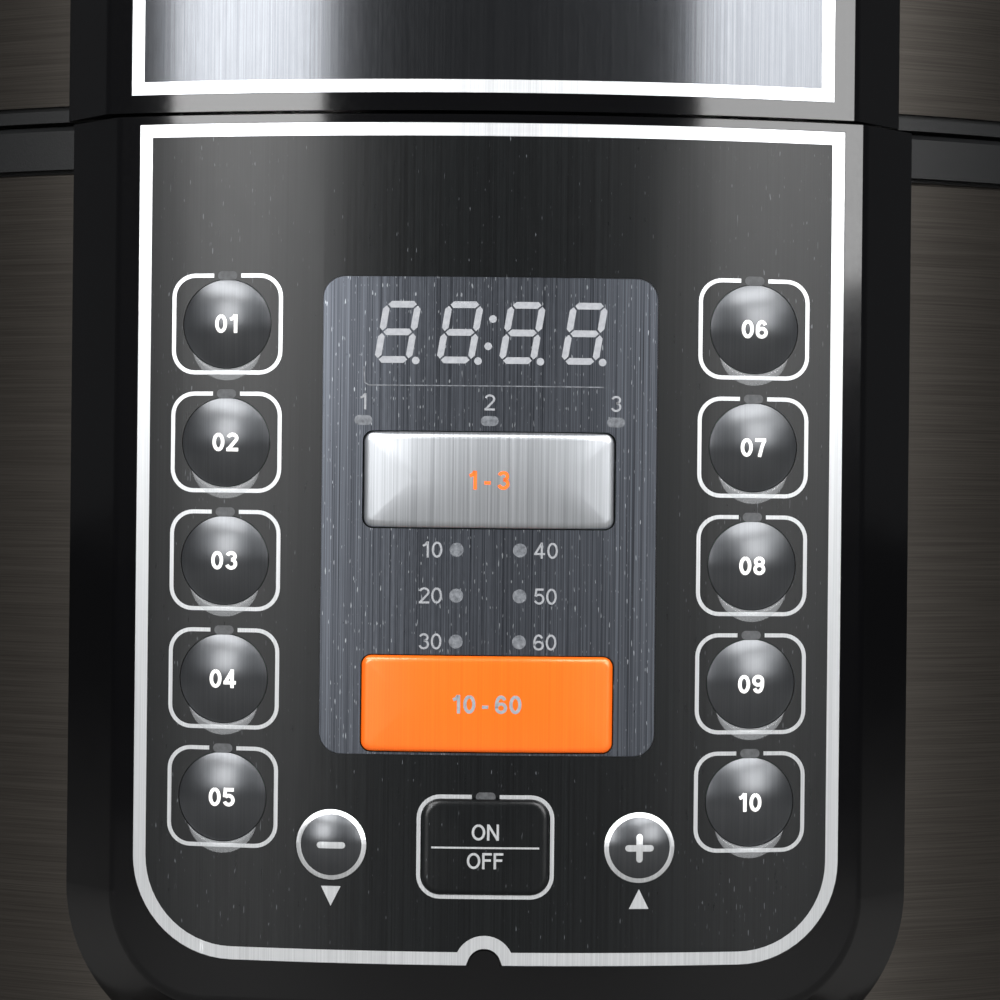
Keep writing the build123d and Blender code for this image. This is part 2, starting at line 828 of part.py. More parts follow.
block_top = body_top + 2 * fascia_corner  # so the upper corners fall away
with BuildPart() as control_fascia:
    # a block with the outline seen from the front, cut to the round front surface
    with BuildSketch(facing(shell_r / 2)):
        with Locations((0, (fascia_bottom + block_top) / 2)):
            RectangleRounded(2 * fascia_half_w, block_top - fascia_bottom, fascia_corner)
    extrude(amount=fascia_r)
    Cylinder(fascia_r, 4 * body_top, mode=Mode.INTERSECT)
    front_edges = control_fascia.faces().sort_by(Axis.Y)[0].edges()
    chamfer(front_edges, fascia_slope, fascia_edge)
    fillet(control_fascia.faces().sort_by(Axis.Y)[0].edges(), fascia_round)
    with BuildSketch(Plane.XY.offset(body_top)):
        Circle(2 * fascia_r)
    extrude(amount=2 * fascia_corner + 1, mode=Mode.SUBTRACT)
    # it sits on the shell and on the collar
    with BuildSketch(Plane.XY):
        Circle(shell_r + seat)
    extrude(amount=body_top, mode=Mode.SUBTRACT)
    with BuildSketch(Plane.XY.offset(shell_top)):
        Circle(collar_r + seat)
    extrude(amount=band_h + seam, mode=Mode.SUBTRACT)
    add(fascia_hollow.part, mode=Mode.SUBTRACT)
    add(overlay_pocket.part, mode=Mode.SUBTRACT)
    # posts that carry the control board
    with BuildSketch(facing(board_front)):
        with Locations(*post_spots):
            Circle(post_r)
    extrude(amount=front_y(post_x, cavity_r) - board_front + 1.0)
    with BuildSketch(facing(board_front)):
        with Locations(*post_spots):
            Circle(board_hole_r)
    extrude(amount=7, mode=Mode.SUBTRACT)
    # openings for keys, lamps and display
    with BuildSketch(facing(board_front)):
        key_openings(key_clear, Mode.ADD)
        bar_key_openings(key_clear, Mode.ADD)
        with Locations((0, display_z)):
            Rectangle(display_w + 2 * fit, display_h + 2 * fit)
        with Locations(*lamp_spots):
            Rectangle(lamp_w + fit, lamp_h + fit)
    extrude(amount=2 * (fascia_r - board_front), mode=Mode.SUBTRACT)
save(control_fascia, "control_fascia")

with BuildPart() as control_overlay:
    with BuildSketch(facing(shell_r / 2)):
        overlay_outline(0.05)
        key_openings(key_clear, Mode.SUBTRACT)
        with Locations((0, window_z)):
            RectangleRounded(window_w, window_h, window_corner, mode=Mode.SUBTRACT)
        with Locations((0, overlay_bottom)):
            Circle(notch_r, mode=Mode.SUBTRACT)
    extrude(amount=fascia_r)
    Cylinder(fascia_r, 4 * body_top, mode=Mode.INTERSECT)
    Cylinder(floor_r + glue_t, 4 * body_top, mode=Mode.SUBTRACT)
save(control_overlay, "control_overlay")

with BuildPart() as display_window:
    with BuildSketch(facing(shell_r / 2)):
        with Locations((0, window_z)):
            RectangleRounded(window_w - 0.1, window_h - 0.1, window_corner)
        bar_key_openings(key_clear, Mode.SUBTRACT)
    extrude(amount=fascia_r)
    Cylinder(fascia_r, 4 * body_top, mode=Mode.INTERSECT)
    Cylinder(floor_r + glue_t, 4 * body_top, mode=Mode.SUBTRACT)
save(display_window, "display_window")

with BuildPart() as control_board:
    with BuildSketch(facing(board_y)):
        with Locations((0, board_z)):
            RectangleRounded(board_w, board_h, 2)
        with Locations(*post_spots):
            Circle(1.4, mode=Mode.SUBTRACT)
    extrude(amount=board_t)
save(control_board, "control_board")

with BuildPart() as board_screws:
    with BuildSketch(facing(board_y - screw_head_h)):
        with Locations(*post_spots):
            Circle(board_screw_head_r)
    extrude(amount=screw_head_h)
    with BuildSketch(facing(board_y)):
        with Locations(*post_spots):
            Circle(board_screw_r)
    extrude(amount=board_t + 6)
save(board_screws, "board_screws")

with BuildPart() as display_module:
    with BuildSketch(facing(board_front)):
        with Locations((0, display_z)):
            Rectangle(display_w, display_h)
    extrude(amount=front_y(display_w / 2, floor_r) - fit - board_front)
save(display_module, "display_module")

with BuildPart() as indicator_lamps:
    with BuildSketch(facing(board_front)):
        with Locations(*lamp_spots):
            Rectangle(lamp_w, lamp_h)
    extrude(amount=fascia_r)
    Cylinder(floor_r - 0.05, 4 * body_top, mode=Mode.INTERSECT)
save(indicator_lamps, "indicator_lamps")

# ================================================================= keys
key_spots = {}
for side, column in ((-1, "left"), (1, "right")):
    for row, z in enumerate(row_z, start=1):
        key_spots[f"key_{column}_{row}"] = (side * key_col_x, z, key_r)
key_spots["key_minus"] = (-small_key_x, low_key_z, small_key_r)
key_spots["key_plus"] = (small_key_x, low_key_z, small_key_r)
bar_spots = {
    "key_cancel": (low_key_z, cancel_w, cancel_h, cancel_corner),
    "key_level": (level_key_z, bar_key_w, bar_key_h, bar_key_corner),
    "key_select": (select_key_z, bar_key_w, bar_key_h, bar_key_corner),
}
switch_spots = [(x, z) for x, z, radius in key_spots.values()]
switch_spots += [(0, z) for z, width, height, corner in bar_spots.values()]

with BuildPart() as key_switches:
    with BuildSketch(facing(board_front)):
        with Locations(*switch_spots):
            Rectangle(switch_w, switch_w)
    extrude(amount=switch_h)
    with BuildSketch(facing(board_front + switch_h)):
        with Locations(*switch_spots):
            Rectangle(plunger_w, plunger_w)
    extrude(amount=plunger_h)
save(key_switches, "key_switches")


def make_key(name, x, z, half_w, outline):
    """Key cap with lugs behind the front wall and a stem that ends at its switch."""
    lug_front = front_y(abs(x) + half_w + key_lug, cavity_r) - touch
    lug_back = lug_front - key_lug_t
    with BuildPart() as key:
        with BuildSketch(facing(lug_back)):
            with Locations((x, z)):
                outline()
        extrude(amount=2 * (key_face_r - lug_back))
        Cylinder(key_face_r, 4 * body_top, mode=Mode.INTERSECT)
        chamfer(key.faces().sort_by(Axis.Y)[0].edges(), key_chamfer)
        with BuildSketch(facing(lug_back)):
            with Locations((x, z)):
                Rectangle(2 * (half_w + key_lug), key_lug_w)
        extrude(amount=key_lug_t)
        with BuildSketch(facing(stem_end)):
            with Locations((x, z)):
                Rectangle(stem_w, stem_w)
        extrude(amount=lug_back - stem_end)
    save(key, name)


for name, (x, z, radius) in key_spots.items():
    make_key(name, x, z, radius, lambda: Circle(radius))
for name, (z, width, height, corner) in bar_spots.items():
    make_key(name, 0, z, width / 2, lambda: RectangleRounded(width, height, corner))


# ================================================================= lid
def dome_z(radius, wall):
    """Height of the dome's outside (wall 0) or inside (its wall) at a radius."""
    drop = dome_edge_z - dome_top
    span = dome_edge_r - dome_flat_r
    bend = (span**2 + drop**2) / (2 * -drop)
    return dome_top - bend + sqrt((bend - wall) ** 2 - (radius - dome_flat_r) ** 2)


def local_axis(x, y):
    """Upright axis through a point of the plan."""
    return Axis((x, y, 0), (0, 0, 1))


def local_plane(x, y):
    """Upright sketch plane through a point of the plan, X to the right, Z up."""
    return Plane(origin=(x, y, 0), x_dir=(1, 0, 0), z_dir=(0, -1, 0))


with BuildPart() as lid_inner:
    with BuildSketch(Plane.XZ):
        with BuildLine():
            Polyline(
                (0, crown_top - lid_steel),
                (crown_r, crown_top - lid_steel),
                (crown_r + crown_slope, lid_ceiling),
                (lid_wall_in, lid_ceiling),
                (lid_wall_in, lid_lug_z),
                (lid_wall_out, lid_lug_z),
                (lid_wall_out, lid_ceiling + lid_steel),
                (crown_r + crown_slope + lid_steel / 2, lid_ceiling + lid_steel),
                (crown_r + lid_steel / 2, crown_top),
                (0, crown_top),
                close=True,
            )
        make_face()
    revolve(axis=Axis.Z)
    with BuildSketch(Plane.XY.offset(lid_lug_z)):
        ring_sectors(lid_wall_in + 0.5, lid_lug_r, lug_count, lid_lug_deg, 180 / lug_count)
    extrude(amount=lid_lug_top - lid_lug_z)
    with BuildSketch(Plane.XY.offset(lid_ceiling)):
        with Locations((0, valve_y)):
            Circle(stem_r + fit)
        with Locations((float_x, float_y)):
            Circle(float_r + 2.4)
        Circle(2.6)
    extrude(amount=crown_h + 2 * lid_steel, mode=Mode.SUBTRACT)
save(lid_inner, "lid_inner")

with BuildPart() as lid_rim:
    web_in = lid_wall_out + 0.5
    web_out = skirt_r - shell_wall - fit
    with BuildSketch(Plane.XZ):
        with BuildLine():
            Polyline(
                (web_in, rim_z),
                (collar_r + bead_proud, rim_z),
                (collar_r + bead_proud, rim_z + bead_h),
                (collar_r, rim_z + bead_h),
                (collar_r, rim_top),
                (web_out, rim_top),
                (web_out, rim_top + web_h),
                (web_in, rim_top + web_h),
                close=True,
            )
        make_face()
    revolve(axis=Axis.Z)
save(lid_rim, "lid_rim")

with BuildPart() as lid_skirt:
    with BuildSketch(Plane.XZ):
        with BuildLine():
            Polyline(
                (skirt_r, skirt_z),
                (skirt_r, skirt_top - 1.0),
                (skirt_r - 1.0, skirt_top),
                (skirt_r - skirt_fold, skirt_top),
                (skirt_r - skirt_fold, skirt_top - shell_wall),
                (skirt_r - shell_wall, skirt_top - shell_wall),
                (skirt_r - shell_wall, skirt_z),
                close=True,
            )
        make_face()
    revolve(axis=Axis.Z)
save(lid_skirt, "lid_skirt")

with BuildPart() as lid_cover:
    rib_r = lid_wall_in - 2.0
    dome_in_r = dome_edge_r - dome_wall
    with BuildSketch(Plane.XZ):
        with BuildLine():
            Line((0, dome_top), (dome_flat_r, dome_top))
            TangentArc(
                (dome_flat_r, dome_top), (dome_edge_r, dome_edge_z), tangent=(1, 0)
            )
            Polyline(
                (dome_edge_r, dome_edge_z),
                (dome_edge_r, skirt_top),
                (dome_in_r, skirt_top),
                (dome_in_r, dome_z(dome_in_r, dome_wall)),
            )
            TangentArc(
                (dome_flat_r, dome_top - dome_wall),
                (dome_in_r, dome_z(dome_in_r, dome_wall)),
                tangent=(1, 0),
            )
            Polyline((dome_flat_r, dome_top - dome_wall), (0, dome_top - dome_wall), (0, dome_top))
        make_face()
    revolve(axis=Axis.Z)
    shoulder = lid_cover.edges().filter_by_position(Axis.Z, dome_edge_z - touch, dome_edge_z + touch)
    fillet(shoulder, dome_shoulder)
    # rib ring and centre boss that stand on the steel dish
    with BuildSketch(Plane.XY.offset(lid_ceiling + lid_steel)):
        Circle(rib_r)
        Circle(rib_r - 2.0, mode=Mode.SUBTRACT)
    extrude(amount=dome_z(rib_r, dome_wall / 2) - lid_ceiling - lid_steel)
    with BuildSketch(Plane.XY.offset(crown_top)):
        Circle(9)
    extrude(amount=dome_top - crown_top - 1.0)
    with BuildSketch(Plane.XY.offset(crown_top)):
        Circle(2.5)
    extrude(amount=16, mode=Mode.SUBTRACT)
    # well of the steam valve, with a lip
    well_top = dome_z(valve_y, 0) + well_lip
    with BuildSketch(Plane.XY.offset(well_top - valve_well_depth - well_wall)):
        with Locations((0, valve_y)):
            Circle(valve_well_r + well_wall)
    extrude(amount=valve_well_depth + well_wall)
    with BuildSketch(Plane.XY.offset(well_top - valve_well_depth)):
        with Locations((0, valve_y)):
            Circle(valve_well_r)
    extrude(amount=valve_well_depth + 5, mode=Mode.SUBTRACT)
    with BuildSketch(Plane.XY.offset(well_top - valve_well_depth - 3.0)):
        with Locations((0, valve_y)):
            Circle(stem_r + 3.0)
        with Locations((float_x, float_y)):
            Circle(float_r + 1.6)
        with Locations((-screw_x, 0), (screw_x, 0)):
            Circle(2.2)
    extrude(amount=valve_well_depth + 10, mode=Mode.SUBTRACT)
save(lid_cover, "lid_cover")

with BuildPart() as lid_handle:
    half_span = handle_span / 2
    with BuildSketch(Plane.XZ.offset(-handle_w / 2)):
        with BuildLine():
            ThreePointArc((-half_span, dome_top), (0, lid_height), (half_span, dome_top))
            Line((half_span, dome_top), (half_span - handle_foot, dome_top))
            ThreePointArc(
                (half_span - handle_foot, dome_top),
                (0, lid_height - handle_bar),
                (handle_foot - half_span, dome_top),
            )
            Line((handle_foot - half_span, dome_top), (-half_span, dome_top))
        make_face()
    extrude(amount=handle_w)
    fillet(lid_handle.edges().filter_by(GeomType.CIRCLE), handle_round)
    with BuildSketch(Plane.XY.offset(dome_top)):
        with Locations((-screw_x, 0), (screw_x, 0)):
            Circle(screw_hole_r)
    extrude(amount=screw_bite + fit, mode=Mode.SUBTRACT)
save(lid_handle, "lid_handle")

with BuildPart() as lid_screws:
    with BuildSketch(Plane.XY.offset(dome_top - dome_wall - lid_screw_head_h)):
        with Locations((-screw_x, 0), (screw_x, 0)):
            Circle(lid_screw_head_r)
    extrude(amount=lid_screw_head_h)
    with BuildSketch(Plane.XY.offset(dome_top - dome_wall)):
        with Locations((-screw_x, 0), (screw_x, 0)):
            Circle(screw_r)
    extrude(amount=dome_wall + screw_bite)
    with BuildSketch(Plane.XY.offset(crown_top - lid_steel - 3.0)):
        Circle(6)
    extrude(amount=3.0)
    with BuildSketch(Plane.XY.offset(crown_top - lid_steel)):
        Circle(2.4)
    extrude(amount=16)
save(lid_screws, "lid_screws")

with BuildPart() as seal_carrier:
    carrier_r = pot_r - carrier_inset
    with BuildSketch(Plane.XY.offset(lid_ceiling - carrier_h)):
        Circle(carrier_r)
        Circle(carrier_r - carrier_wall, mode=Mode.SUBTRACT)
    extrude(amount=carrier_h)
    # windows that leave a wire-like frame
    with BuildSketch(Plane.XY.offset(lid_ceiling - carrier_h + 3.0)):
        ring_sectors(carrier_r + 2, carrier_r - 4, 8, 36)
    extrude(amount=carrier_h - 5.0, mode=Mode.SUBTRACT)
save(seal_carrier, "seal_carrier")

with BuildPart() as seal_ring:
    seal_low = pot_top + touch + 0.1
    seal_high = lid_ceiling - touch - 0.1
    seal_in = carrier_r + touch + 0.1
    with BuildSketch(Plane.XZ):
        with BuildLine():
            Polyline(
                (seal_in, seal_high),
                (seal_in + seal_w, seal_high),
                (seal_in + seal_w, seal_low + 3.4),
                (seal_in + seal_w - 2.4, seal_low),
                (seal_in + 4.8, seal_low),
                (seal_in + 4.8, seal_low + 1.8),
                (seal_in + seal_w - 4.4, seal_low + 3.0),
                (seal_in + seal_w - 4.4, seal_high - 3.0),
                (seal_in, seal_high - 3.0),
                close=True,
            )
        make_face()
    revolve(axis=Axis.Z)
save(seal_ring, "seal_ring")

# ================================================================= badge block
with BuildPart() as badge_pocket:
    with BuildSketch(facing(shell_r / 2)):
        with Locations((0, rim_z + plate_lift + plate_h / 2)):
            RectangleRounded(plate_w, plate_h, 0.5)
    extrude(amount=fascia_r)
    Cylinder(floor_r, 4 * body_top, mode=Mode.SUBTRACT)

badge_top = rim_z + badge_h
with BuildPart() as lid_badge:
    with BuildSketch(facing(shell_r / 2)):
        with Locations((0, rim_z + badge_h / 2)):
            RectangleRounded(2 * badge_half_w, badge_h + 4 * badge_corner, badge_corner)
    extrude(amount=fascia_r)
    Cylinder(fascia_r, 4 * body_top, mode=Mode.INTERSECT)
    chamfer(lid_badge.faces().sort_by(Axis.Y)[0].edges(), fascia_slope, badge_edge)
    fillet(lid_badge.faces().sort_by(Axis.Y)[0].edges(), badge_round)
    # both ends are cut level, and the upper one gets a sloping crest
    for level, height in ((rim_z, -3 * badge_corner), (badge_top, 3 * badge_corner)):
        with BuildSketch(Plane.XY.offset(level)):
            Circle(2 * fascia_r)
        extrude(amount=height, mode=Mode.SUBTRACT)
    with BuildSketch(Plane.XZ):
        Polygon(
            (fascia_r - fascia_slope / 2, badge_top),
            (fascia_r + fascia_slope / 2, badge_top),
            (fascia_r + fascia_slope / 2, badge_top - 2 * badge_crest),
            align=None,
        )
    revolve(axis=Axis.Z, mode=Mode.SUBTRACT)
    with BuildSketch(Plane.XY.offset(rim_z)):
        Circle(collar_r + bead_proud + seat)
    extrude(amount=badge_h + 10, mode=Mode.SUBTRACT)
    add(badge_pocket.part, mode=Mode.SUBTRACT)
lid_badge.part = lid_badge.part.rotate(Axis.Z, badge_turn)
save(lid_badge, "lid_badge")

with BuildPart() as lid_badge_plate:
    with BuildSketch(facing(shell_r / 2)):
        with Locations((0, rim_z + plate_lift + plate_h / 2)):
            RectangleRounded(plate_w - 0.1, plate_h - 0.1, 0.5)
    extrude(amount=fascia_r)
    Cylinder(fascia_r, 4 * body_top, mode=Mode.INTERSECT)
    Cylinder(floor_r + glue_t, 4 * body_top, mode=Mode.SUBTRACT)
lid_badge_plate.part = lid_badge_plate.part.rotate(Axis.Z, badge_turn)
save(lid_badge_plate, "lid_badge_plate")

# ================================================================= valves
well_floor = well_top - valve_well_depth
stem_top = well_floor + valve_bore + 0.7
with BuildPart() as valve_stem:
    with BuildSketch(local_plane(0, valve_y)):
        with BuildLine():
            Polyline(
                (stem_bore_r, crown_top - lid_steel - stem_tail),
                (stem_r, crown_top - lid_steel - stem_tail),
                (stem_r, crown_top),
                (stem_r + stem_collar, crown_top),
                (stem_r + stem_collar, crown_top + stem_collar_h),
                (stem_r, crown_top + stem_collar_h),
                (stem_r, stem_top),
                (stem_bore_r, stem_top),
                close=True,
            )
        make_face()
    revolve(axis=local_axis(0, valve_y))
save(valve_stem, "valve_stem")

with BuildPart() as steam_valve:
    with BuildSketch(Plane.XY.offset(well_floor + 1.0)):
        with Locations((0, valve_y)):
            Circle(valve_r)
    extrude(amount=valve_h)
    chamfer(steam_valve.faces().sort_by(Axis.Z)[-1].edges(), 1.5)
    with BuildSketch(Plane.XY.offset(well_floor + 1.0 + valve_h)):
        with Locations((0, valve_y)):
            RectangleRounded(grip_w, grip_t, 2)
    extrude(amount=grip_h)
    with BuildSketch(Plane.XY.offset(well_floor + 1.0)):
        with Locations((0, valve_y)):
            Circle(stem_r + stem_fit)
    extrude(amount=valve_bore, mode=Mode.SUBTRACT)
save(steam_valve, "steam_valve")

with BuildPart() as valve_guard:
    guard_top = crown_top - lid_steel
    with BuildSketch(local_plane(0, valve_y)):
        with BuildLine():
            Polyline(
                (0, guard_top - guard_h),
                (guard_r, guard_top - guard_h),
                (guard_r, guard_top),
                (guard_r - guard_wall, guard_top),
                (guard_r - guard_wall, guard_top - guard_h + guard_wall),
                (0, guard_top - guard_h + guard_wall),
                close=True,
            )
        make_face()
    revolve(axis=local_axis(0, valve_y))
    with BuildSketch(Plane.XY.offset(guard_top - guard_h + 3.0)):
        with Locations((0, valve_y)):
            with PolarLocations(0, 4):
                Rectangle(2 * guard_r + 4, guard_slot)
    extrude(amount=guard_h - 5.0, mode=Mode.SUBTRACT)
save(valve_guard, "valve_guard")

with BuildPart() as float_gasket:
    with BuildSketch(local_plane(float_x, float_y)):
        with BuildLine():
            Polyline(
                (float_r + 0.1, crown_top - lid_steel - 1.0),
                (float_r + 2.3, crown_top - lid_steel - 1.0),
                (float_r + 2.3, crown_top),
                (float_r + 4.6, crown_top),
                (float_r + 4.6, crown_top + gasket_lip),
                (float_r + 0.1, crown_top + gasket_lip),
                close=True,
            )
        make_face()
    revolve(axis=local_axis(float_x, float_y))
save(float_gasket, "float_gasket")

with BuildPart() as float_pin:
    pin_low = crown_top - lid_steel - 1.0 - float_travel - 3.0
    with BuildSketch(Plane.XY.offset(pin_low)):
        with Locations((float_x, float_y)):
            Circle(float_r + float_foot)
    extrude(amount=2.0)
    with BuildSketch(Plane.XY.offset(pin_low)):
        with Locations((float_x, float_y)):
            Circle(float_r)
    extrude(amount=dome_z(float_y, 0) - 2.5 - pin_low)
save(float_pin, "float_pin")
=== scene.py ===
import json
from math import acos, asin, cos, pi, radians, sin, sqrt

import bmesh
import bpy
from mathutils import Matrix, Vector


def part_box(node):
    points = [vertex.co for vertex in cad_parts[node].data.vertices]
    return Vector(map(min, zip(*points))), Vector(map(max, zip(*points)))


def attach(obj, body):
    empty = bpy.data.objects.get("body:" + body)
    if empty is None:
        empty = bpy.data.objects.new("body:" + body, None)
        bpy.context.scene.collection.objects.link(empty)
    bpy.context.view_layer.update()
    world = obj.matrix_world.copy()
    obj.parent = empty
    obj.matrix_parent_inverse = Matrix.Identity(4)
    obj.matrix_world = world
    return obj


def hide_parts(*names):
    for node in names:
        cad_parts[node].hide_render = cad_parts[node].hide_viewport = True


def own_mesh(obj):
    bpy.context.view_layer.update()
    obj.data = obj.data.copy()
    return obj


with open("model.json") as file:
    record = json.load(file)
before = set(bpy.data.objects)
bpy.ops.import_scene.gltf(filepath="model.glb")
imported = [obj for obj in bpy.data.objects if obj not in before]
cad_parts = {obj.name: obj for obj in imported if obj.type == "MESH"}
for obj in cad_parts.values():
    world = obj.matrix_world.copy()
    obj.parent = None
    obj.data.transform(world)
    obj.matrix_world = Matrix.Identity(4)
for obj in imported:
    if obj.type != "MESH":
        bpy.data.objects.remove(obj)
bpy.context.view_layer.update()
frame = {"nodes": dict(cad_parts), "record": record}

# Electric pressure cooker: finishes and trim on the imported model. Metres, the front looks along -Y.

# ---- places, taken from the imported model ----
panel_low, panel_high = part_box("control_overlay")
window_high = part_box("display_window")[1]
plate_low, plate_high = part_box("lid_badge_plate")
pot_low, pot_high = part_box("inner_pot")
screw_face_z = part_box("base_screws")[0].z
panel_r = -panel_low.y  # the panel is part of a cylinder about the body's axis

# ---- trim sizes ----
ink_lift = 0.00004  # printing stands this far off the film
ink_step = 0.0012  # longest straight piece of a printed line
border_w = 0.0021
border_gap = 0.00005
border_low_corner = 0.0165
notch_arch_r = 0.0038
outline_w = 0.0183
outline_h = 0.0164
outline_corner = 0.0035
outline_stroke = 0.00065
outline_gap = 0.0045
cancel_outline_w = 0.0222
cancel_outline_h = 0.0168
cancel_line_half = 0.0087
cancel_line_w = 0.0003
lens_w = 0.0032
lens_h = 0.00145
blister_gap = 0.00016  # from a key's edge to its clear crescent
blister_r = 0.0058
blister_reach = 0.0020
blister_rise = 0.0003
arrow_half = 0.0016
arrow_drop = 0.0083

digit_pitch = 0.01005
digit_w = 0.0061
digit_h = 0.0100
digit_bar = 0.00108
digit_slant = 0.165
digit_gap = 0.18  # share of a bar's width left free at its ends
digit_shift = 0.0001  # the digits stand this far right of the middle
digit_rise = 0.0004  # and this far above the middle of their module
point_r = 0.00062
point_inset = 0.0001
point_rise = 0.0004
colon_half = 0.0022
module_drop = 0.0086  # from the digits' middle down to the module's lower edge
module_stroke = 0.00018
level_drop = 0.0232  # from the window's top down to the lamps over the level key
level_pitch = 0.0204
level_label_rise = 0.0030
oval_w = 0.0029
oval_h = 0.0016
dot_drop = 0.0440  # from the window's top down to the first lamps under the level key
dot_pitch = 0.0074
dot_x = 0.0051
dot_r = 0.00113
dot_label_gap = 0.0023

dome_rise = 0.0014
dome_sink = 0.00006
dome_edge = 0.995  # share of the radius at which a dome's top turns into its wall
dome_depth = 0.0018
film_t = 0.0004
key_swell = 0.00005  # the film swells over a key by this much
key_wall_slope = 0.0003  # a dome's wall runs in by this much under the film
key_ring_w = 0.00075
sign_half = 0.0018  # half the length of a bar of the plus and minus signs
sign_stroke = 0.00105
bar_depth = 0.0020

key_label_h = 0.0030
small_label_h = 0.0026
# strokes as a share of the lettering's height
dome_stroke = 0.19
bar_key_stroke = 0.18
cancel_stroke = 0.15
small_stroke = 0.13

pot_rim_w = 0.0080  # from the rim's outer edge to the inside of the wall
mark_low = 0.030
mark_pitch = 0.020
mark_half = 0.0060
mark_stroke = 0.0008
mark_label_h = 0.0055
mark_label_x = 0.0120

screw_reach = 0.1085
screw_turn = 20
screw_r = 0.0032
screw_t = 0.0016
screw_rim = 0.88  # share of the radius at which the head's face ends
screw_shoulder = 0.35  # share of the thickness taken by the rounding
cross_half = 0.00045
cross_arm = 0.0019
cross_depth = 0.0010
cross_taper = 0.8
spring_wire_r = 0.0007
spring_turns = 4


def middle(node):
    """Middle of a node's box."""
    low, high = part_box(node)
    return (low + high) / 2


def middle_radius(node):
    """Radius of a round key, from its height."""
    low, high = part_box(node)
    return (high.z - low.z) / 2


# ============================================= finishes
def colour(code):
    """sRGB hex value as linear RGBA."""
    parts = [int(code[i:i + 2], 16) / 255 for i in (0, 2, 4)]
    return (*[p / 12.92 if p <= 0.04045 else ((p + 0.055) / 1.055) ** 2.4 for p in parts], 1.0)


def add(tree, kind, inputs=None, **settings):
    """Add a node with its settings. An input is a value, or a socket to link from."""
    node = tree.nodes.new(kind)
    for name, value in settings.items():
        setattr(node, name, value)
    for name, value in (inputs or {}).items():
        if isinstance(value, bpy.types.NodeSocket):
            tree.links.new(value, node.inputs[name])
        else:
            node.inputs[name].default_value = value
    return node


def pattern_on(tree, pattern):
    """Noise with lumps of a size (x, y, z) in metres and a detail, or rings about Z of one width."""
    *size, detail = pattern
    place = add(tree, "ShaderNodeTexCoord").outputs["Object"]
    if len(size) == 1:
        flat = {0: place, 1: (1, 1, 0)}
        place = add(tree, "ShaderNodeVectorMath", flat, operation="MULTIPLY").outputs[0]
        reach = add(tree, "ShaderNodeVectorMath", {0: place}, operation="LENGTH").outputs["Value"]
        inputs = {"W": reach, "Scale": 1 / size[0], "Detail": detail}
        return add(tree, "ShaderNodeTexNoise", inputs, noise_dimensions="1D").outputs["Fac"]
    place = add(tree, "ShaderNodeVectorMath", {0: place, 1: size}, operation="DIVIDE").outputs[0]
    inputs = {"Vector": place, "Scale": 1.0, "Detail": detail, "Roughness": 0.55}
    return add(tree, "ShaderNodeTexNoise", inputs).outputs["Fac"]


def finish(name, sockets, tint=None, rough=None, relief=None, marks=None):
    """Material with these shader values, and patterns for what differs over the surface.

    tint is (pattern, low, high, dark, light), rough is (pattern, least, most), relief is
    (pattern, depth) and marks, which lie on the tint, is (pattern, low, high, light).
    """
    material = bpy.data.materials.new(name)
    material.use_nodes = True
    tree = material.node_tree
    shader = tree.nodes["Principled BSDF"]
    for socket, value in sockets.items():
        shader.inputs[socket].default_value = value
    drawn = {}
    for use in (tint, rough, relief, marks):
        if use and use[0] not in drawn:
            drawn[use[0]] = pattern_on(tree, use[0])
    links = {}
    if tint:
        pattern, low, high, dark, light = tint
        ramp = add(tree, "ShaderNodeValToRGB", {"Fac": drawn[pattern]})
        first, last = ramp.color_ramp.elements
        first.position, first.color = low, colour(dark)
        last.position, last.color = high, colour(light)
        links["Base Color"] = ramp.outputs["Color"]
    if marks:
        pattern, low, high, light = marks
        limits = {"Value": drawn[pattern], "From Min": low, "From Max": high}
        share = add(tree, "ShaderNodeMapRange", limits).outputs["Result"]
        layers = {0: share, 6: links["Base Color"], 7: colour(light)}
        links["Base Color"] = add(tree, "ShaderNodeMix", layers, data_type="RGBA").outputs[2]
    if rough:
        pattern, least, most = rough
        limits = {"Value": drawn[pattern], "To Min": least, "To Max": most}
        links["Roughness"] = add(tree, "ShaderNodeMapRange", limits).outputs["Result"]
    if relief:
        pattern, depth = relief
        raised = {"Height": drawn[pattern], "Distance": depth}
        links["Normal"] = add(tree, "ShaderNodeBump", raised).outputs["Normal"]
    if "Anisotropic" in sockets:
        round_z = add(tree, "ShaderNodeTangent", direction_type="RADIAL", axis="Z")
        links["Tangent"] = round_z.outputs["Tangent"]
    for socket, source in links.items():
        tree.links.new(source, shader.inputs[socket])
    return material


# hairlines are 0.05 mm apart on the real sheets and drawn four times as coarse
level_lines = (0.03, 0.03, 0.0002, 2.0)
upright_lines = (0.0002, 0.02, 0.05, 2.0)
# wiping leaves marks 0.1 mm wide, drawn twice as wide
wipe_marks = (0.0002, 0.01, 0.0014, 0.0)
scratches = (0.0006, 0.01, 0.004, 4.0)
dust = (0.0008, 0.0008, 0.0008, 3.0)
mould_grain = (0.0003, 0.0003, 0.0003, 2.0)
spray_grain = (0.0009, 0.0009, 0.0009, 2.0)
polishing_rings = (0.0007, 2.0)
turning_lines = (0.04, 0.04, 0.0006, 2.0)
stamping_lines = (0.0003, 0.004, 0.0003, 2.0)
spangle = (0.004, 0.004, 0.004, 3.0)
bloom = (0.003, 0.003, 0.003, 4.0)
fibres = (0.0004, 0.0004, 0.0004, 3.0)

# tinted stainless steel, brushed round the body: a warm dark metal with soft tall highlights
black_stainless = finish(
    "black_stainless_brushed",
    {"Metallic": 0.92, "Anisotropic": 0.6, "Anisotropic Rotation": 0.25},
    tint=(level_lines, 0.25, 0.75, "433F3B", "57534E"),
    rough=((0.05, 0.05, 0.002, 3.0), 0.36, 0.46),
    relief=(level_lines, 0.000004),
)
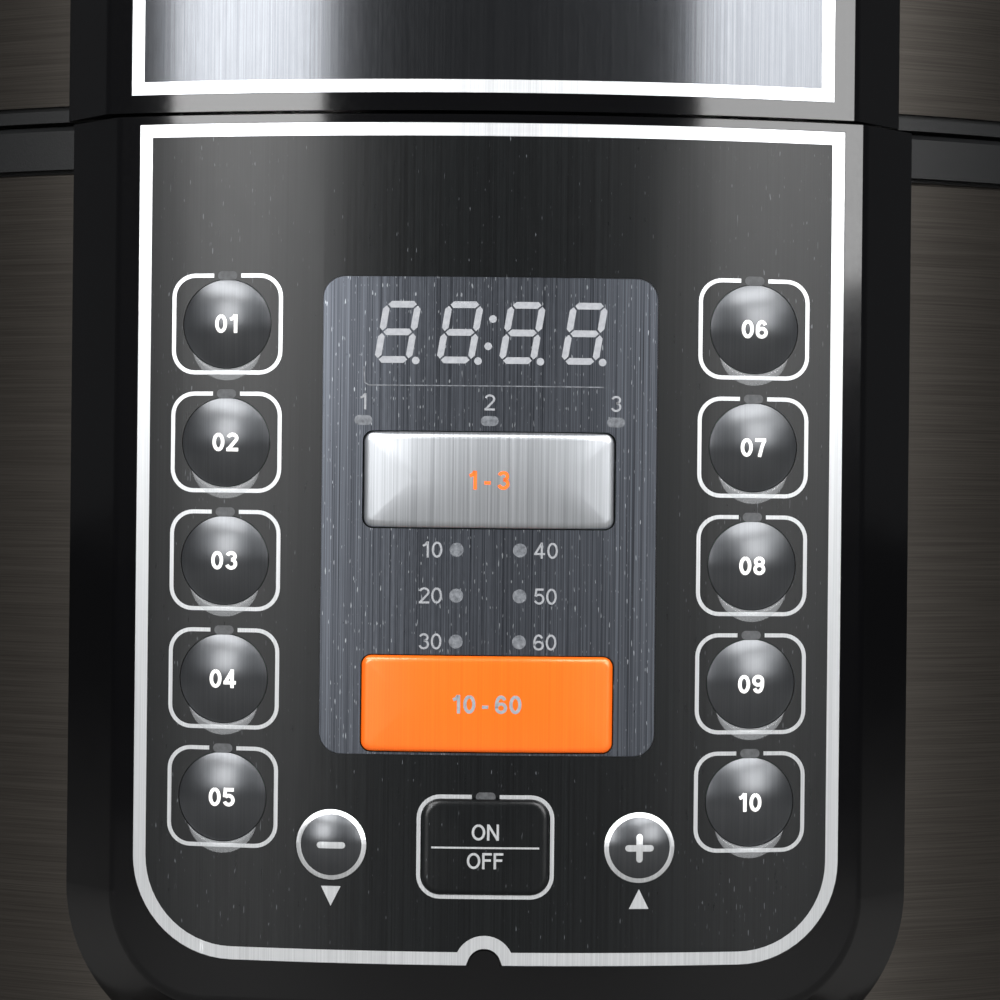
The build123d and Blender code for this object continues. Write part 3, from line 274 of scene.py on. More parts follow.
# ABS from a polished mould: deep black with sharp reflections, a trace of flow waves and dust
gloss_abs = finish(
    "black_abs_polished",
    {"Base Color": colour("060607"), "IOR": 1.46},
    rough=(dust, 0.06, 0.12),
    relief=((0.02, 0.02, 0.02, 1.0), 0.00008),
)
# polypropylene from a spark-eroded mould: charcoal with an even 0.15 mm grain, drawn twice as coarse
satin_pp = finish(
    "black_polypropylene_grained",
    {"Base Color": colour("0E0F10"), "IOR": 1.45},
    rough=(mould_grain, 0.38, 0.5),
    relief=(mould_grain, 0.00002),
)
# black-printed film over brushed aluminium: satin black with upright hairlines and fine scratches
film = finish(
    "panel_film_black",
    {"IOR": 1.37, "Anisotropic": 0.4, "Anisotropic Rotation": 0.25},
    tint=(upright_lines, 0.3, 0.75, "08090A", "131516"),
    rough=(scratches, 0.25, 0.33),
    relief=(upright_lines, 0.000002),
    marks=(wipe_marks, 0.8, 0.86, "4A4D50"),
)
# aluminium left bare between the printing: near white, with upright hairlines
silver = finish(
    "aluminium_film_bare",
    {"Metallic": 0.7, "Anisotropic": 0.7},
    tint=(upright_lines, 0.3, 0.7, "CBCDCF", "DFE1E3"),
    rough=(upright_lines, 0.31, 0.36),
)
# smoked film over a brushed plate: black where nothing is mirrored, silver where a lamp is
plate_film = finish(
    "aluminium_plate_smoked",
    {"Metallic": 0.95, "Anisotropic": 0.55, "Anisotropic Rotation": 0.25},
    tint=(upright_lines, 0.1, 0.9, "44464A", "5E6063"),
    rough=(scratches, 0.17, 0.24),
)
# brushed aluminium key under clear film: silver, highlights drawn out sideways
key_silver = finish(
    "aluminium_key_brushed",
    {"Metallic": 0.85, "Anisotropic": 0.6},
    tint=(upright_lines, 0.3, 0.7, "A3A6AA", "C0C3C7"),
    rough=(upright_lines, 0.28, 0.38),
)
# film stretched into a dome: its metal layer shines through, bright where the dome turns up
key_film = finish(
    "key_film_black",
    {"Metallic": 0.8, "Coat Weight": 0.7, "Coat Roughness": 0.28, "Anisotropic": 0.7},
    tint=(upright_lines, 0.2, 0.8, "3E4043", "4C4E51"),
    rough=(dust, 0.3, 0.35),
)
# orange lacquer on a metallised key: saturated, with a soft gloss and barely visible brushing
orange_lacquer = finish(
    "lacquer_orange",
    {"Metallic": 0.2, "Coat Weight": 0.4, "Coat Roughness": 0.12},
    tint=(upright_lines, 0.2, 0.8, "EB5F0A", "F36C12"),
    rough=(upright_lines, 0.3, 0.38),
)
# clear polyester film standing off the print: see-through, its pale grey colour at low alpha a painted
# sheen that makes it brighter than what is under it
clear_film_painted_sheen = finish(
    "polyester_film_clear_painted_sheen",
    {"Base Color": colour("C9CCCF"), "Alpha": 0.24, "IOR": 1.6},
    rough=(dust, 0.12, 0.3),
)
# smoked acrylic over metallised film: slate grey and glossy, with upright wipe marks
smoked_acrylic = finish(
    "acrylic_smoked",
    {"Metallic": 0.85, "IOR": 1.49},
    tint=((0.00014, 0.02, 0.06, 3.0), 0.25, 0.8, "292B31", "797E87"),
    rough=((0.0003, 0.01, 0.0016, 1.0), 0.25, 0.36),
    marks=(wipe_marks, 0.75, 0.81, "B4B9BF"),
)
# stainless steel, pressed and polished: bright, with faint circles from the polishing wheel
polished_stainless = finish(
    "stainless_steel_polished",
    {"Metallic": 1.0},
    tint=(polishing_rings, 0.3, 0.7, "BDBBB7", "D3D1CD"),
    rough=(polishing_rings, 0.18, 0.3),
    relief=(polishing_rings, 0.000006),
)
# aluminium, drawn and spun: soft grey metal with level turning lines 0.6 mm apart
spun_aluminium = finish(
    "aluminium_spun",
    {"Metallic": 1.0},
    tint=(turning_lines, 0.3, 0.7, "9EA0A2", "B9BBBD"),
    rough=(turning_lines, 0.3, 0.44),
    relief=(turning_lines, 0.00001),
)
# aluminium with a sprayed non-stick coat: charcoal and satin, with pale 1 mm mineral flecks
coated_aluminium = finish(
    "aluminium_nonstick_coated",
    {"IOR": 1.4},
    tint=((0.0011, 0.0011, 0.0011, 3.0), 0.62, 0.68, "2A2B2C", "77797B"),
    rough=(spray_grain, 0.36, 0.5),
    relief=(spray_grain, 0.00002),
)
# sheet steel, zinc plated: cool grey with a cloudy 4 mm spangle
plated_steel = finish(
    "steel_zinc_plated",
    {"Metallic": 1.0},
    tint=(spangle, 0.35, 0.65, "9DA1A3", "C0C3C4"),
    rough=(spangle, 0.32, 0.48),
)
# brass, stamped and thinly nickel plated: a pale warm metal
stamped_brass = finish(
    "brass_stamped",
    {"Metallic": 1.0},
    tint=(stamping_lines, 0.3, 0.7, "B7A777", "D2C493"),
    rough=(stamping_lines, 0.25, 0.38),
)
# nitrile rubber, moulded: dull black with a powdery bloom
nitrile_rubber = finish(
    "rubber_nitrile",
    {"IOR": 1.5},
    tint=(bloom, 0.35, 0.7, "161616", "242423"),
    rough=(bloom, 0.72, 0.88),
    relief=((0.0005, 0.0005, 0.0005, 2.0), 0.00002),
)
# silicone rubber, moulded: milky and softly lit from within
milky_silicone = finish(
    "silicone_milky",
    {
        "Roughness": 0.42,
        "IOR": 1.41,
        "Subsurface Weight": 0.25,
        "Subsurface Radius": (0.004, 0.004, 0.0035),
        "Subsurface Scale": 1.0,
    },
    tint=((0.006, 0.006, 0.006, 2.0), 0.3, 0.7, "D2D3CE", "E0E1DC"),
)
# clear styrene plastic, moulded: see-through with a faint cool tint
clear_san = finish(
    "san_clear",
    {"Base Color": colour("F4F8F9"), "IOR": 1.57, "Transmission Weight": 1.0},
    rough=((0.002, 0.002, 0.002, 3.0), 0.03, 0.08),
)
# glass-fibre laminate under green solder mask: copper tracks show as lighter bands
board_laminate = finish(
    "fr4_green_mask",
    {"IOR": 1.5, "Roughness": 0.35},
    tint=((0.006, 0.006, 0.0012, 0.0), 0.52, 0.56, "17482C", "23633E"),
)
# glass-filled nylon of the electrical parts: matt dark grey with short fibres
filled_nylon = finish(
    "nylon_glass_filled",
    {"IOR": 1.5},
    tint=(fibres, 0.3, 0.7, "1E1F20", "2D2E2F"),
    rough=(fibres, 0.5, 0.65),
)


def screen_ink(name, dark, light):
    """Screen-printed ink: flat, very slightly uneven."""
    return finish(name, {"Roughness": 0.5}, tint=(dust, 0.3, 0.7, dark, light))


white_ink = screen_ink("ink_white", "E9E9E7", "F6F6F4")
grey_ink = screen_ink("ink_grey", "7B7D81", "898B8F")
orange_ink = screen_ink("ink_orange", "F5620F", "FF6A1C")
segment_ink = screen_ink("display_segment_unlit", "83858A", "939599")
# lamp lenses seen unlit: grey and speckled by their frosting
lens = screen_ink("lens_frosted", "43464B", "6D7075")
dim_lens = screen_ink("lens_under_film", "323335", "47494B")

slot_finishes = {
    "black_plastic": satin_pp,
    "black_gloss_plastic": gloss_abs,
    "dark_steel": black_stainless,
    "plated_steel": plated_steel,
    "rubber": nitrile_rubber,
    "silicone": milky_silicone,
    "stainless_steel": polished_stainless,
    "aluminium": spun_aluminium,
    "coated_aluminium": coated_aluminium,
    "clear_plastic": clear_san,
    "brass": stamped_brass,
    "switch_plastic": filled_nylon,
    "circuit_board": board_laminate,
    "panel_film": film,
    "smoked_window": smoked_acrylic,
    "black_key": key_film,
    "silver_key": key_silver,
    "orange_key": orange_lacquer,
}
node_slots = {part["node"]: part["material_slot"] for part in frame["record"]["subparts"]}
for name, node in frame["nodes"].items():
    dressing = plate_film if name == "lid_badge_plate" else slot_finishes[node_slots[name]]
    for place in node.material_slots:
        place.material = dressing


# ============================================= flat shapes of the printing
# A shape is (points, faces): points are (x, z) on the unrolled panel, faces run anticlockwise
# seen from the front.
def shifted(shape, x, z):
    """The shape moved on the panel."""
    points, faces = shape
    return [(px + x, pz + z) for px, pz in points], faces


def joined(shapes):
    """Several shapes as one."""
    points, faces = [], []
    for more_points, more_faces in shapes:
        start = len(points)
        points += more_points
        faces += [[start + corner for corner in face] for face in more_faces]
    return points, faces


def finely(path, closed):
    """The path with points added wherever two are further apart than a printed step."""
    fine = []
    ends = path[1:] + (path[:1] if closed else [])
    for (x0, z0), (x1, z1) in zip(path, ends):
        count = max(1, round(sqrt((x1 - x0) ** 2 + (z1 - z0) ** 2) / ink_step))
        fine += [(x0 + (x1 - x0) * i / count, z0 + (z1 - z0) * i / count) for i in range(count)]
    return fine if closed else fine + [path[-1]]


def rounded_path(half_w, low, high, low_r, high_r, gap=0.0):
    """Outline of a rounded rectangle, clockwise from its upper middle, with a gap there if asked."""
    path = [(gap / 2, high)]
    corners = (
        (half_w - high_r, high - high_r, high_r, 90),
        (half_w - low_r, low + low_r, low_r, 0),
        (low_r - half_w, low + low_r, low_r, -90),
        (high_r - half_w, high - high_r, high_r, -180),
    )
    for x, z, radius, start in corners:
        for turn in range(0, 91, 10):
            angle = radians(start - turn)
            path.append((x + radius * cos(angle), z + radius * sin(angle)))
    if gap:
        path.append((-gap / 2, high))
    return path


def ribbon(path, width, closed=True):
    """Band of even width along a path."""
    path = finely(path, closed)
    count = len(path)
    points, faces = [], []
    for i in range(count):
        here = Vector(path[i])
        before = Vector(path[i - 1]) if closed or i > 0 else here
        after = Vector(path[(i + 1) % count]) if closed or i < count - 1 else here
        arriving = (here - before).normalized() if here != before else (after - here).normalized()
        leaving = (after - here).normalized() if after != here else arriving
        along = (arriving + leaving).normalized()
        side = Vector((-along.y, along.x)) * (width / 2 / max(along.dot(leaving), 0.7))
        points += [tuple(here - side), tuple(here + side)]
    for i in range(count if closed else count - 1):
        on = (i + 1) % count
        faces.append([2 * i, 2 * on, 2 * on + 1, 2 * i + 1])
    return points, faces


def filled(path):
    """The inside of an outline that runs clockwise."""
    return list(path), [list(range(len(path)))[::-1]]


def circle(radius, count):
    """Points of a circle, anticlockwise from its first axis."""
    angles = [2 * pi * i / count for i in range(count)]
    return [(radius * cos(angle), radius * sin(angle)) for angle in angles]


def disc(radius, count=28):
    """Round spot."""
    return filled([(x, z) for z, x in circle(radius, count)])


def stadium(width, height):
    """Spot with half-round ends."""
    return filled(rounded_path(width / 2, -height / 2, height / 2, height * 0.499, height * 0.499))


def bow(x, z, across, up, start, end):
    """Points along an arc round (x, z), its angles in degrees from +X."""
    count = max(3, round(abs(end - start) / 15))
    angles = [radians(start + (end - start) * i / count) for i in range(count + 1)]
    return [(x + across * cos(angle), z + up * sin(angle)) for angle in angles]


def sign_strokes(sign, stroke):
    """Width and centre lines of a plain sign one unit high, for a stroke of this width."""
    low, high, waist = stroke / 2, 1 - stroke / 2, 0.54
    wide, left, centre = 0.66, stroke / 2, 0.33
    across = centre - left
    upper, lower = (waist + high) / 2, (low + waist) / 2
    upper_up, lower_up = (high - waist) / 2, (waist - low) / 2
    ring = bow(centre, lower, across, lower_up, 90, -270)
    tail = bow(centre, 0.5, across, 0.5 - low, 35, 180) + [(left, lower)]
    hook = bow(centre, 0.71, across, high - 0.71, 165, -35) + [(left, low)]
    far = 0.74 - low
    signs = {
        "0": (wide, [bow(centre, 0.5, across, 0.5 - low, 90, -270)]),
        "1": (0.50, [[(0.06, 0.73), (0.22, 0.80), (0.34, 0.97)], [(0.36, 0), (0.36, 1)]]),
        "2": (wide, [hook, [(0, low), (0.65, low)]]),
        "3": (
            wide,
            [
                bow(centre, upper, across * 0.9, upper_up, 165, -90),
                bow(centre, lower, across, lower_up, 90, -165),
            ],
        ),
        "4": (0.70, [[(0.47, 0), (0.47, 1)], [(0.45, high), (left, 0.30)], [(0, 0.29), (0.68, 0.29)]]),
        "5": (
            wide,
            [
                [(0.12, high), (0.61, high)],
                [(0.16, 1), (0.11, 0.50)],
                bow(centre, 0.34, across, 0.34 - low, 140, -160),
            ],
        ),
        "6": (wide, [ring, tail]),
        "7": (0.64, [[(0.02, high), (0.62, high)], [(0.54, high), (0.40, 0.55), (0.26, 0)]]),
        "8": (wide, [ring, bow(centre, upper, across * 0.88, upper_up, 90, -270)]),
        "9": (wide, [[(wide - x, 1 - z) for x, z in line] for line in (ring, tail)]),
        "-": (0.40, [[(0.03, 0.36), (0.37, 0.36)]]),
        " ": (0.10, []),
        "O": (0.84, [bow(0.42, 0.5, 0.42 - low, 0.5 - low, 90, -270)]),
        "N": (0.74, [[(low, 0), (low, 1)], [(low, 0.97), (far, 0.03)], [(far, 0), (far, 1)]]),
        "F": (0.60, [[(low, 0), (low, 1)], [(low, high), (0.60, high)], [(low, waist), (0.54, waist)]]),
    }
    return signs[sign]


def lettering(words, height, stroke, align=0):
    """Plain numbers and signs. Align is -1 for left, 0 for centred, 1 for right."""
    space = 0.11
    shapes, reach = [], 0.0
    for sign in words:
        width, lines = sign_strokes(sign, stroke)
        for line in lines:
            path = [((reach + x) * height, (z - 0.5) * height) for x, z in line]
            shapes.append(ribbon(path, stroke * height, closed=False))
        reach += width + space
    total = (reach - space) * height
    return shifted(joined(shapes), -total * (align + 1) / 2, 0.0)


def digit_eight():
    """One slanted seven-segment digit with all its segments."""
    half_w, half_h = digit_w / 2 - digit_bar / 2, digit_h / 2 - digit_bar / 2
    gap = digit_bar * digit_gap
    bars = []
    for z in (half_h, 0.0, -half_h):
        bars.append(((gap - half_w, z), (half_w - gap, z)))
    for x in (-half_w, half_w):
        bars.append(((x, half_h - gap), (x, gap)))
        bars.append(((x, -gap), (x, gap - half_h)))
    shapes = []
    for start, end in bars:
        start, end = Vector(start), Vector(end)
        along = (end - start).normalized() * digit_bar / 2
        side = Vector((-along.y, along.x))
        near, ahead = start + along, end - along
        corners = (start, near + side, ahead + side, end, ahead - side, near - side)
        shapes.append(filled([(c.x + c.y * digit_slant, c.y) for c in corners]))
    return joined(shapes)


# ============================================= pieces
def placed(name, data):
    """Object with this data in the scene."""
    item = bpy.data.objects.new(name, data)
    bpy.context.scene.collection.objects.link(item)
    return item


def piece_from(name, points, faces, material, smooth=False):
    """Mesh object from points in space."""
    mesh = bpy.data.meshes.new(name)
    mesh.from_pydata([tuple(point) for point in points], [], faces)
    mesh.materials.append(material)
    mesh.polygons.foreach_set("use_smooth", [smooth] * len(mesh.polygons))
    mesh.update()
    return placed(name, mesh)


def printed(name, shape, radius, material, body, turn=0.0, side=-1):
    """Flat shape laid on the front (side -1) or the far side (1) of a round surface."""
    points = [(x, side * sqrt(radius**2 - x**2), z) for x, z in shape[0]]
    piece = piece_from(name, points, shape[1], material)
    piece.data.transform(Matrix.Rotation(turn, 4, "Z"))
    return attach(piece, body)


def repeat_tree():
    """Geometry nodes that put a shape on every spot and can bend the result onto a cylinder."""
    tree = bpy.data.node_groups.new("shape_on_every_spot", "GeometryNodeTree")
    sockets = (
        ("Spots", "NodeSocketGeometry"),
        ("Shape", "NodeSocketObject"),
        ("Radius", "NodeSocketFloat"),
        ("Side", "NodeSocketFloat"),
        ("Material", "NodeSocketMaterial"),
    )
    for label, kind in sockets:
        tree.interface.new_socket(label, in_out="INPUT", socket_type=kind)
    tree.interface.new_socket("Geometry", in_out="OUTPUT", socket_type="NodeSocketGeometry")
    given = add(tree, "NodeGroupInput").outputs
    shape = add(tree, "GeometryNodeObjectInfo", {"Object": given["Shape"]}).outputs["Geometry"]
    pair = {"Points": given["Spots"], "Instance": shape}
    laid = add(tree, "GeometryNodeInstanceOnPoints", pair).outputs["Instances"]
    real = add(tree, "GeometryNodeRealizeInstances", {"Geometry": laid}).outputs["Geometry"]
    position = add(tree, "GeometryNodeInputPosition").outputs["Position"]
    place = add(tree, "ShaderNodeSeparateXYZ", {"Vector": position}).outputs
    across = add(tree, "ShaderNodeMath", {0: place["X"], 1: 2.0}, operation="POWER").outputs[0]
    reach = add(tree, "ShaderNodeMath", {0: given["Radius"], 1: 2.0}, operation="POWER").outputs[0]
    inside = add(tree, "ShaderNodeMath", {0: reach, 1: across}, operation="SUBTRACT").outputs[0]
    depth = add(tree, "ShaderNodeMath", {0: inside}, operation="SQRT").outputs[0]
    sided = {0: depth, 1: given["Side"], 2: place["Y"]}
    bent_y = add(tree, "ShaderNodeMath", sided, operation="MULTIPLY_ADD").outputs[0]
    parts = {"X": place["X"], "Y": bent_y, "Z": place["Z"]}
    bent = add(tree, "ShaderNodeCombineXYZ", parts).outputs["Vector"]
    bending = {"Geometry": real, "Position": bent}
    moved = add(tree, "GeometryNodeSetPosition", bending).outputs["Geometry"]
    # a radius of 0 leaves the shapes where they are
    limits = {0: given["Radius"], 1: 0.0}
    round_it = add(tree, "FunctionNodeCompare", limits, operation="GREATER_THAN").outputs["Result"]
    ways = {"Switch": round_it, "False": real, "True": moved}
    chosen = add(tree, "GeometryNodeSwitch", ways, input_type="GEOMETRY").outputs["Output"]
    dress = {"Geometry": chosen, "Material": given["Material"]}
    dressed = add(tree, "GeometryNodeSetMaterial", dress).outputs["Geometry"]
    add(tree, "NodeGroupOutput", {"Geometry": dressed})
    return tree


spot_tree = repeat_tree()


def repeated(name, shape_piece, spots, material, body, radius=0.0, side=-1):
    """The shape on every spot as one plain mesh that rides on a body."""
    carrier = piece_from(name + "_spots", spots, [], material)
    modifier = carrier.modifiers.new("repeat", "NODES")
    modifier.node_group = spot_tree
    values = {"Shape": shape_piece, "Radius": float(radius), "Side": float(side), "Material": material}
    for item in spot_tree.interface.items_tree:
        if item.in_out == "INPUT" and item.name in values:
            modifier[item.identifier] = values[item.name]
    carrier.update_tag()
    bpy.context.view_layer.update()
    result = carrier.evaluated_get(bpy.context.evaluated_depsgraph_get())
    mesh = bpy.data.meshes.new_from_object(result)
    bpy.data.objects.remove(carrier)
    bpy.data.objects.remove(shape_piece)
    mesh.name = name
    piece = placed(name, mesh)
    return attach(piece, body)


def flat_piece(shape, material):
    """A flat shape as an object on the unrolled panel, for repeating."""
    points, faces = shape
    return piece_from("shape", [(x, 0.0, z) for x, z in points], faces, material)


# ============================================= overlay
ink_r = panel_r + ink_lift


def on_spots(name, shape, spots, ink):
    """Flat shape printed on every one of the panel's spots."""
    return repeated(name, flat_piece(shape, ink), spots, ink, "cooker_base", ink_r)


def key_frame(width, height):
    """Printed frame round a key, with a gap at its top for the lamp."""
    half_w, half_h = (width - outline_stroke) / 2, (height - outline_stroke) / 2
    path = rounded_path(half_w, -half_h, half_h, outline_corner, outline_corner, outline_gap)
    return ribbon(path, outline_stroke, closed=False)


def overlay_border():
    """Bare band along the overlay's edge, arched over the notch."""
    inset = border_w / 2 + border_gap
    half_w = panel_high.x - inset
    high = panel_high.z - inset
    low = panel_low.z + inset
    low_r = border_low_corner - inset
    path = [(half_w, high)]
    for turn in range(0, 91, 6):
        angle = radians(-turn)
        path.append((half_w - low_r + low_r * cos(angle), low + low_r + low_r * sin(angle)))
    arch_start = asin((low - panel_low.z) / notch_arch_r)
    arch = [
        (notch_arch_r * cos(a), panel_low.z + notch_arch_r * sin(a))
        for a in [arch_start + (pi - 2 * arch_start) * i / 16 for i in range(17)]
    ]
    mirrored = [(-x, z) for x, z in path[::-1]]
    return ribbon(path + arch + mirrored, border_w)


printed("overlay_border", overlay_border(), ink_r, silver, "cooker_base")

programme_keys = [f"key_{column}_{row}" for column in ("left", "right") for row in range(1, 6)]
programme_spots = [middle(key) for key in programme_keys]
flat_spots = [(spot.x, 0.0, spot.z) for spot in programme_spots]
on_spots("key_outlines", key_frame(outline_w, outline_h), flat_spots, silver)
lens_rise = (outline_h - outline_stroke) / 2
cancel = middle("key_cancel")
cancel_rise = (cancel_outline_h - outline_stroke) / 2
lens_spots = [(spot.x, 0.0, spot.z + lens_rise) for spot in programme_spots]
lens_spots.append((cancel.x, 0.0, cancel.z + cancel_rise))
on_spots("key_lenses", stadium(lens_w, lens_h), lens_spots, dim_lens)
cancel_outline = shifted(key_frame(cancel_outline_w, cancel_outline_h), cancel.x, cancel.z)
printed("cancel_outline", cancel_outline, ink_r, silver, "cooker_base")


def blister(radius):
    """Clear crescent where the film bulges below a round key, made lighter by a painted sheen. Its
    height runs along -Y.
    """
    inner, outer = radius + blister_gap, blister_r
    drop = radius + blister_reach - outer
    meet_z = -(inner**2 - outer**2 + drop**2) / (2 * drop)
    inner_half = acos(-meet_z / inner)
    outer_half = acos(-(meet_z + drop) / outer)
    # shares of the way out and of the height, from the key's edge outwards
    profile = ((0.0, 0.0), (0.0, 1.0), (0.4, 0.85), (0.8, 0.5), (1.0, 0.0))
    count = 24
    points, faces = [], []
    for share, height in profile:
        for i in range(count + 1):
            turn = 2 * i / count - 1
            x0, z0 = inner * sin(turn * inner_half), -inner * cos(turn * inner_half)
            x1, z1 = outer * sin(turn * outer_half), -outer * cos(turn * outer_half) - drop
            points.append((x0 + (x1 - x0) * share, -blister_rise * height, z0 + (z1 - z0) * share))
    for ring in range(len(profile) - 1):
        low, high = ring * (count + 1), (ring + 1) * (count + 1)
        faces += [[low + i, high + i, high + i + 1, low + i + 1] for i in range(count)]
    return piece_from("shape", points, faces, clear_film_painted_sheen, smooth=True)


# the crescents carry a painted sheen: their pale film colour stands in for the light that the bulging
# film catches
crescent = blister(middle_radius("key_left_1"))
repeated("key_blisters", crescent, flat_spots, clear_film_painted_sheen, "cooker_base", ink_r)


def arrow(direction):
    """Small solid arrowhead that points up (1) or down (-1)."""
    tip = (0.0, direction * arrow_half)
    left = (-arrow_half, -direction * arrow_half)
    right = (arrow_half, -direction * arrow_half)
    return filled([tip, right, left] if direction > 0 else [left, right, tip])


minus = middle("key_minus")
plus = middle("key_plus")
down = shifted(arrow(-1), minus.x, minus.z - arrow_drop)
up = shifted(arrow(1), plus.x, plus.z - arrow_drop)
printed("step_arrows", joined([down, up]), ink_r, silver, "cooker_base")

# ============================================= display window
digit_z = middle("display_module").z + digit_rise
digit_spots = [(i * digit_pitch + digit_shift, 0.0, digit_z) for i in (-1.5, -0.5, 0.5, 1.5)]
on_spots("display_digits", digit_eight(), digit_spots, segment_ink)
point_x, point_z = digit_w / 2 - point_inset, point_rise - digit_h / 2
point_spots = [(x + point_x, 0.0, z + point_z) for x, y, z in digit_spots]
point_spots += [(z * digit_slant, 0.0, digit_z + z) for z in (-colon_half, colon_half)]
on_spots("display_points", disc(point_r, 16), point_spots, segment_ink)

# the module's edge shows from its left side round the lower corner and on to the right
module_edge = ((-0.0204, 0.0030), (-0.0202, 0.0004), (-0.0196, 0.0), (0.0184, 0.0))
module_path = [(x, digit_z - module_drop + z) for x, z in module_edge]
module_line = ribbon(module_path, module_stroke, closed=False)
printed("display_module_edge", module_line, ink_r, lens, "cooker_base")

level_z = window_high.z - level_drop
level_labels = []
for i in (-1, 0, 1):
    level_label = lettering(str(i + 2), small_label_h, small_stroke)
    level_labels.append(shifted(level_label, i * level_pitch, level_z + level_label_rise))
printed("level_labels", joined(level_labels), ink_r, grey_ink, "cooker_base")
level_spots = [(i * level_pitch, 0.0, level_z) for i in (-1, 0, 1)]
on_spots("level_lenses", stadium(oval_w, oval_h), level_spots, lens)

dot_spots, dot_labels = [], []
for side in (-1, 1):
    for i in range(3):
        x, z = side * dot_x, window_high.z - dot_drop - i * dot_pitch
        dot_spots.append((x, 0.0, z))
        dot_label = lettering(str(10 * len(dot_spots)), small_label_h, small_stroke, -side)
        dot_labels.append(shifted(dot_label, x + side * dot_label_gap, z))
on_spots("select_lenses", disc(dot_r), dot_spots, lens)
printed("select_labels", joined(dot_labels), ink_r, grey_ink, "cooker_base")


# ============================================= keys
def on_panel(centre, across, up, out):
    """Point in space from a place on a key: across and up from its middle, and out from the panel."""
    x = centre.x + across
    return x, -sqrt((panel_r + out) ** 2 - x**2), centre.z + up


def dome_height(distance, radius):
    """Height of a key's dome above the panel."""
    height = dome_rise + dome_sink
    ball = (radius**2 + height**2) / (2 * height)
    return sqrt(ball**2 - distance**2) - ball + dome_rise


def key_dome(key, radius):
    """Domed cap of a round key in place of its plain solid."""
    centre = middle(key)
    steps, count = 16, 72
    reaches = [radius * i / steps for i in range(1, steps)] + [radius * dome_edge, radius]
    rings = [(distance, dome_height(distance, radius)) for distance in reaches]
    rings += [(radius - key_wall_slope, -film_t), (radius - key_wall_slope, -dome_depth)]
    points = [on_panel(centre, 0.0, 0.0, dome_rise)]
    for distance, out in rings:
        points += [on_panel(centre, x, z, out) for x, z in circle(distance, count)]
    faces = [[0, 1 + i, 1 + (i + 1) % count] for i in range(count)]
    for ring in range(len(rings) - 1):
        inner, outer = 1 + ring * count, 1 + (ring + 1) * count
        for i in range(count):
            on = (i + 1) % count
            faces.append([inner + i, outer + i, outer + on, inner + on])
    dome = piece_from(key + "_dome", points, faces, key_film, smooth=True)
    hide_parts(key)
    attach(dome, key)


def finer(shape):
    """The shape cut up so that it can follow a dome."""
    pitch, cuts, merged = 0.0007, 9, 0.000002
    points, faces = shape
    mesh = bpy.data.meshes.new("finer")
    mesh.from_pydata([(x, z, 0.0) for x, z in points], [], faces)
    cut = bmesh.new()
    cut.from_mesh(mesh)
    bpy.data.meshes.remove(mesh)
    for side in (0, 1):
        across = Vector((1, 0, 0)) if side else Vector((0, 1, 0))
        for i in range(-cuts, cuts + 1):
            parts = cut.verts[:] + cut.edges[:] + cut.faces[:]
            bmesh.ops.bisect_plane(cut, geom=parts, plane_co=across * i * pitch, plane_no=across)
    bmesh.ops.remove_doubles(cut, verts=cut.verts[:], dist=merged)
    bmesh.ops.dissolve_degenerate(cut, edges=cut.edges[:], dist=merged)
    cut.verts.index_update()
    points = [(vertex.co.x, vertex.co.y) for vertex in cut.verts]
    faces = [[vertex.index for vertex in face.verts] for face in cut.faces]
    cut.free()
    return points, faces


def on_dome(key, name, shape, radius, ink):
    """Printing on a domed key."""
    centre = middle(key)
    points = []
    for x, z in shape[0]:
        distance = min(sqrt(x * x + z * z), radius)
        points.append(on_panel(centre, x, z, dome_height(distance, radius) + ink_lift))
    piece = piece_from(name, points, shape[1], ink)
    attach(piece, key)


round_key_r = middle_radius("key_left_1") + key_swell
small_key_r = middle_radius("key_minus") + key_swell

for number, key in enumerate(programme_keys, start=1):
    key_dome(key, round_key_r)
    label = finer(lettering(f"{number:02}", key_label_h, dome_stroke))
    on_dome(key, key + "_label", label, round_key_r, white_ink)

minus_bar = ribbon([(-sign_half, 0.0), (sign_half, 0.0)], sign_stroke, closed=False)
upright_bar = ribbon([(0.0, -sign_half), (0.0, sign_half)], sign_stroke, closed=False)
bar_end = disc(sign_stroke / 2, 12)
minus_sign = joined([minus_bar, shifted(bar_end, -sign_half, 0.0), shifted(bar_end, sign_half, 0.0)])
upright_ends = [shifted(bar_end, 0.0, -sign_half), shifted(bar_end, 0.0, sign_half)]
plus_sign = joined([minus_sign, upright_bar] + upright_ends)
ring_path = [(x, z) for z, x in circle(small_key_r - key_ring_w / 2, 45)]
for key, sign in (("key_minus", minus_sign), ("key_plus", plus_sign)):
    key_dome(key, small_key_r)
    on_dome(key, key + "_sign", finer(sign), small_key_r, silver)
    on_dome(key, key + "_ring", ribbon(ring_path, key_ring_w), small_key_r, silver)


def spread(path):
    """The same number of points on every outline: each straight run is cut into equal parts."""
    runs = []
    for i, (x0, z0) in enumerate(path):
        x1, z1 = path[(i + 1) % len(path)]
        straight = i % 10 == 0
        count = 12 if straight else 1
        runs += [(x0 + (x1 - x0) * k / count, z0 + (z1 - z0) * k / count) for k in range(count)]
    return runs


# half width, radius of the corners, radius of the rolled edge, fall of the face towards its ends
bar_shapes = {
    "key_level": (0.0203, 0.0016, 0.0012, 0.0009),
    "key_select": (0.0203, 0.0016, 0.0011, 0.0004),
    "key_cancel": (0.0103, 0.0030, 0.0012, 0.0001),
}


